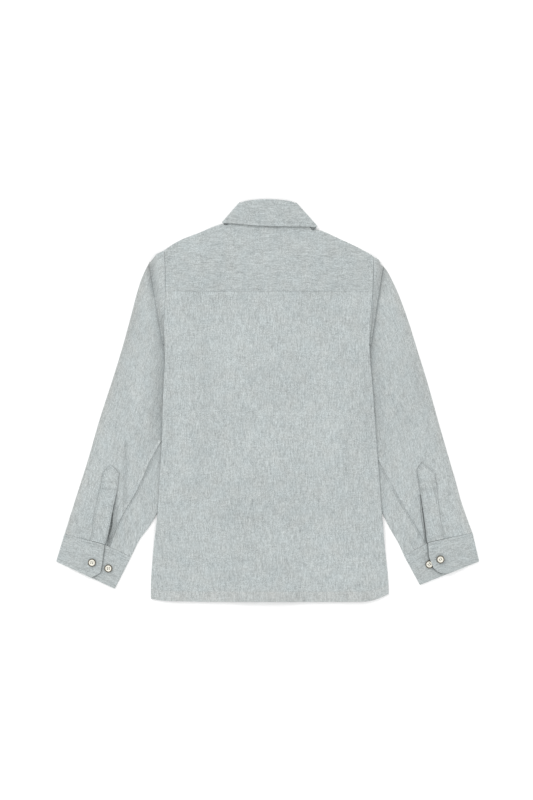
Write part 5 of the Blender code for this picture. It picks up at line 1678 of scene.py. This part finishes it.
def make_buttons(mesh, thread):
    made = []
    for button in CUFF_BUTTONS:
        cuff_face = LIE + (2 * PITCH if button.number == 1 else PITCH) + STIFF_THICK / 2
        if button.side == "right" and button.number == 1:
            cuff_face += float(over_button(button.x - BUTTON_R, button.y, (CUFF_BUTTONS[3].x, CUFF_BUTTONS[3].y)))
        cuff = CUFFS[button.side]
        run = np.subtract(cuff.inner_top, cuff.outer_top)
        turned = float(np.arctan2(run[1], run[0]))
        node = f"cuff_button_{button.side}_{button.number}"
        made.append(place_button(mesh, node, button.x, button.y, cuff_face + 0.25, turned=turned + 0.2 * button.number))
        if button.number == 1:
            shift = unit(run * 1.0) * 2.2
            make_buttonhole(f"cuff_buttonhole_{button.side}", button.x + shift[0], button.y + shift[1], cuff_face,
                            turned, thread)
    for number, y in enumerate(FRONT_BUTTON_YS, 1):
        below = float(front_z(0.0, y, 0)) - STIFF_THICK / 2
        made.append(place_button(mesh, f"front_button_{number}", 0.0, y, below - 0.3, up=-1, turned=0.3 * number))
        make_buttonhole(f"front_buttonhole_{number}", 0.0, y, below, np.pi / 2, thread, up=-1)
    stand_face = LIE + 2 * PITCH - STIFF_THICK / 2
    made.append(place_button(mesh, "collar_button", 0.0, NECK_BUTTON_Y, stand_face - 0.3, up=-1))
    make_buttonhole("collar_buttonhole", -1.5, NECK_BUTTON_Y, stand_face, 0.0, thread, up=-1)
    return made


# The room


def make_floor():
    mesh = bpy.data.meshes.new("table_top")
    half = 4.0
    mesh.from_pydata([(-half, -half, 0), (half, -half, 0), (half, half, 0), (-half, half, 0)], [], [(0, 1, 2, 3)])
    material = bpy.data.materials.new("Pale table")
    material.use_nodes = True
    tree = material.node_tree
    shader = tree.nodes["Principled BSDF"]
    shader.inputs["Roughness"].default_value = 0.9
    shader.inputs["Specular IOR Level"].default_value = 0.1
    noise = place_node(tree, "ShaderNodeTexNoise", (-650, 0))
    noise.inputs["Scale"].default_value = 3.0
    mix = place_node(tree, "ShaderNodeMix", (-350, 0), data_type="RGBA")
    mix.inputs[6].default_value = (0.93, 0.93, 0.93, 1)
    mix.inputs[7].default_value = (0.96, 0.96, 0.96, 1)
    tree.links.new(noise.outputs[0], mix.inputs["Factor"])
    tree.links.new(mix.outputs[2], shader.inputs["Base Color"])
    new_object("table_top", mesh, [material])


def make_light():
    world = bpy.data.worlds.new("Studio")
    bpy.context.scene.world = world
    world.use_nodes = True
    back = world.node_tree.nodes["Background"]
    back.inputs["Color"].default_value = (1, 1, 1, 1)
    back.inputs["Strength"].default_value = 0.98
    for name, place, size, power in (
        ("softbox", (-1.3, 1.6, 1.7), 1.6, 25.0),
        ("fill", (1.5, -1.2, 1.9), 2.2, 11.0),
    ):
        lamp = bpy.data.lights.new(name, "AREA")
        lamp.size = size
        lamp.energy = power
        held = bpy.data.objects.new(name, lamp)
        held.location = place
        away = np.array(place)
        held.rotation_mode = "QUATERNION"
        held.rotation_quaternion = (Vector(away)).to_track_quat("Z", "Y")
        bpy.context.scene.collection.objects.link(held)


LENS = 85.0
SENSOR = 36.0
FRAME_TALL = 1120.0


def make_camera():
    lens = bpy.data.cameras.new("camera")
    lens.lens = LENS
    lens.sensor_width = SENSOR
    away = FRAME_TALL / 2 * LENS / (SENSOR / 2)
    lens.clip_start = 0.1
    lens.clip_end = 20
    held = bpy.data.objects.new("camera", lens)
    held.location = (-1.4 * MM, 0.7 * MM, (away + 4.0) * MM)
    bpy.context.scene.collection.objects.link(held)
    bpy.context.scene.camera = held
    bpy.context.scene.view_settings.view_transform = "Standard"


Cut = namedtuple("Cut", "piece wide long area held rests_on")


def main():
    make_camera()
    make_light()
    make_floor()
    weave = slubbed_weave()
    warp = (0.355, 0.397, 0.405)
    weft = (0.455, 0.481, 0.472)
    body_cloth = shirting("Shirting", weave, warp, weft)
    # A copy of the shirting made 4.5 % darker as painted shade, for the yoke, collar and cuffs, which are cut across
    # the grain
    cross_cloth_painted_darker = shirting("Shirting cut across, painted darker", weave, tuple(np.array(warp) * 0.955), tuple(np.array(weft) * 0.955))
    thread = grained("Sewing thread", (0.27, 0.30, 0.30), (0.19, 0.22, 0.22), 2500.0, 0.75, bump_by=0.00005)
    button_face = grained("Button face", (0.86, 0.84, 0.76), (0.74, 0.71, 0.60), 220.0, 0.2, coat=0.5)
    # The rim's near-black brown is partly the button's own colour and partly painted shadow at its edge
    button_rim_and_shadow = grained("Button rim and painted shadow", (0.10, 0.085, 0.055), (0.055, 0.045, 0.03), 300.0, 0.3, coat=0.5)
    cream_thread = grained("Button thread", (0.34, 0.33, 0.28), (0.22, 0.21, 0.18), 2500.0, 0.7)

    wear(make_back(body_cloth), "back")
    wear(make_yoke(cross_cloth_painted_darker), "yoke")
    wear(make_front("front_left", -1, 1, body_cloth), "front_left")
    wear(make_front("front_right", 1, 2, body_cloth), "front_right")
    wear(make_front_placket(body_cloth), "front_placket")
    sewn_on = {
        "back_cloth": [sew_back(thread)],
        "yoke_cloth": [sew_yoke(thread)],
        "front_left_cloth": [sew_front(thread)],
    }
    for side in ("left", "right"):
        sleeve, lap_edge, far_edge = make_sleeve(side, body_cloth)
        seam = make_seam(side, body_cloth)
        wear(sleeve, f"sleeve_{side}")
        wear(seam, f"sleeve_{side}")
        wear(make_binding(side, lap_edge, far_edge, body_cloth), f"sleeve_binding_{side}")
        wear(make_placket(side, body_cloth), f"sleeve_placket_{side}")
        wear(make_cuff(side, cross_cloth_painted_darker), f"cuff_{side}")
        sewn_on[f"sleeve_{side}_cloth"] = [seam, sew_sleeve(side, thread)]
        sewn_on[f"sleeve_placket_{side}_cloth"] = [sew_placket(side, thread)]
        sewn_on[f"cuff_{side}_cloth"] = [sew_cuff(side, thread)]
    stand, _ = make_collar("stand", cross_cloth_painted_darker)
    fall, fall_places = make_collar("fall", cross_cloth_painted_darker)
    wear(stand, "collar_stand")
    wear(fall, "collar_fall")
    sewn_on["collar_fall_cloth"] = sew_collar(fall_places, thread)
    make_buttons(button_mesh(button_face, button_rim_and_shadow, cream_thread), thread)


main()
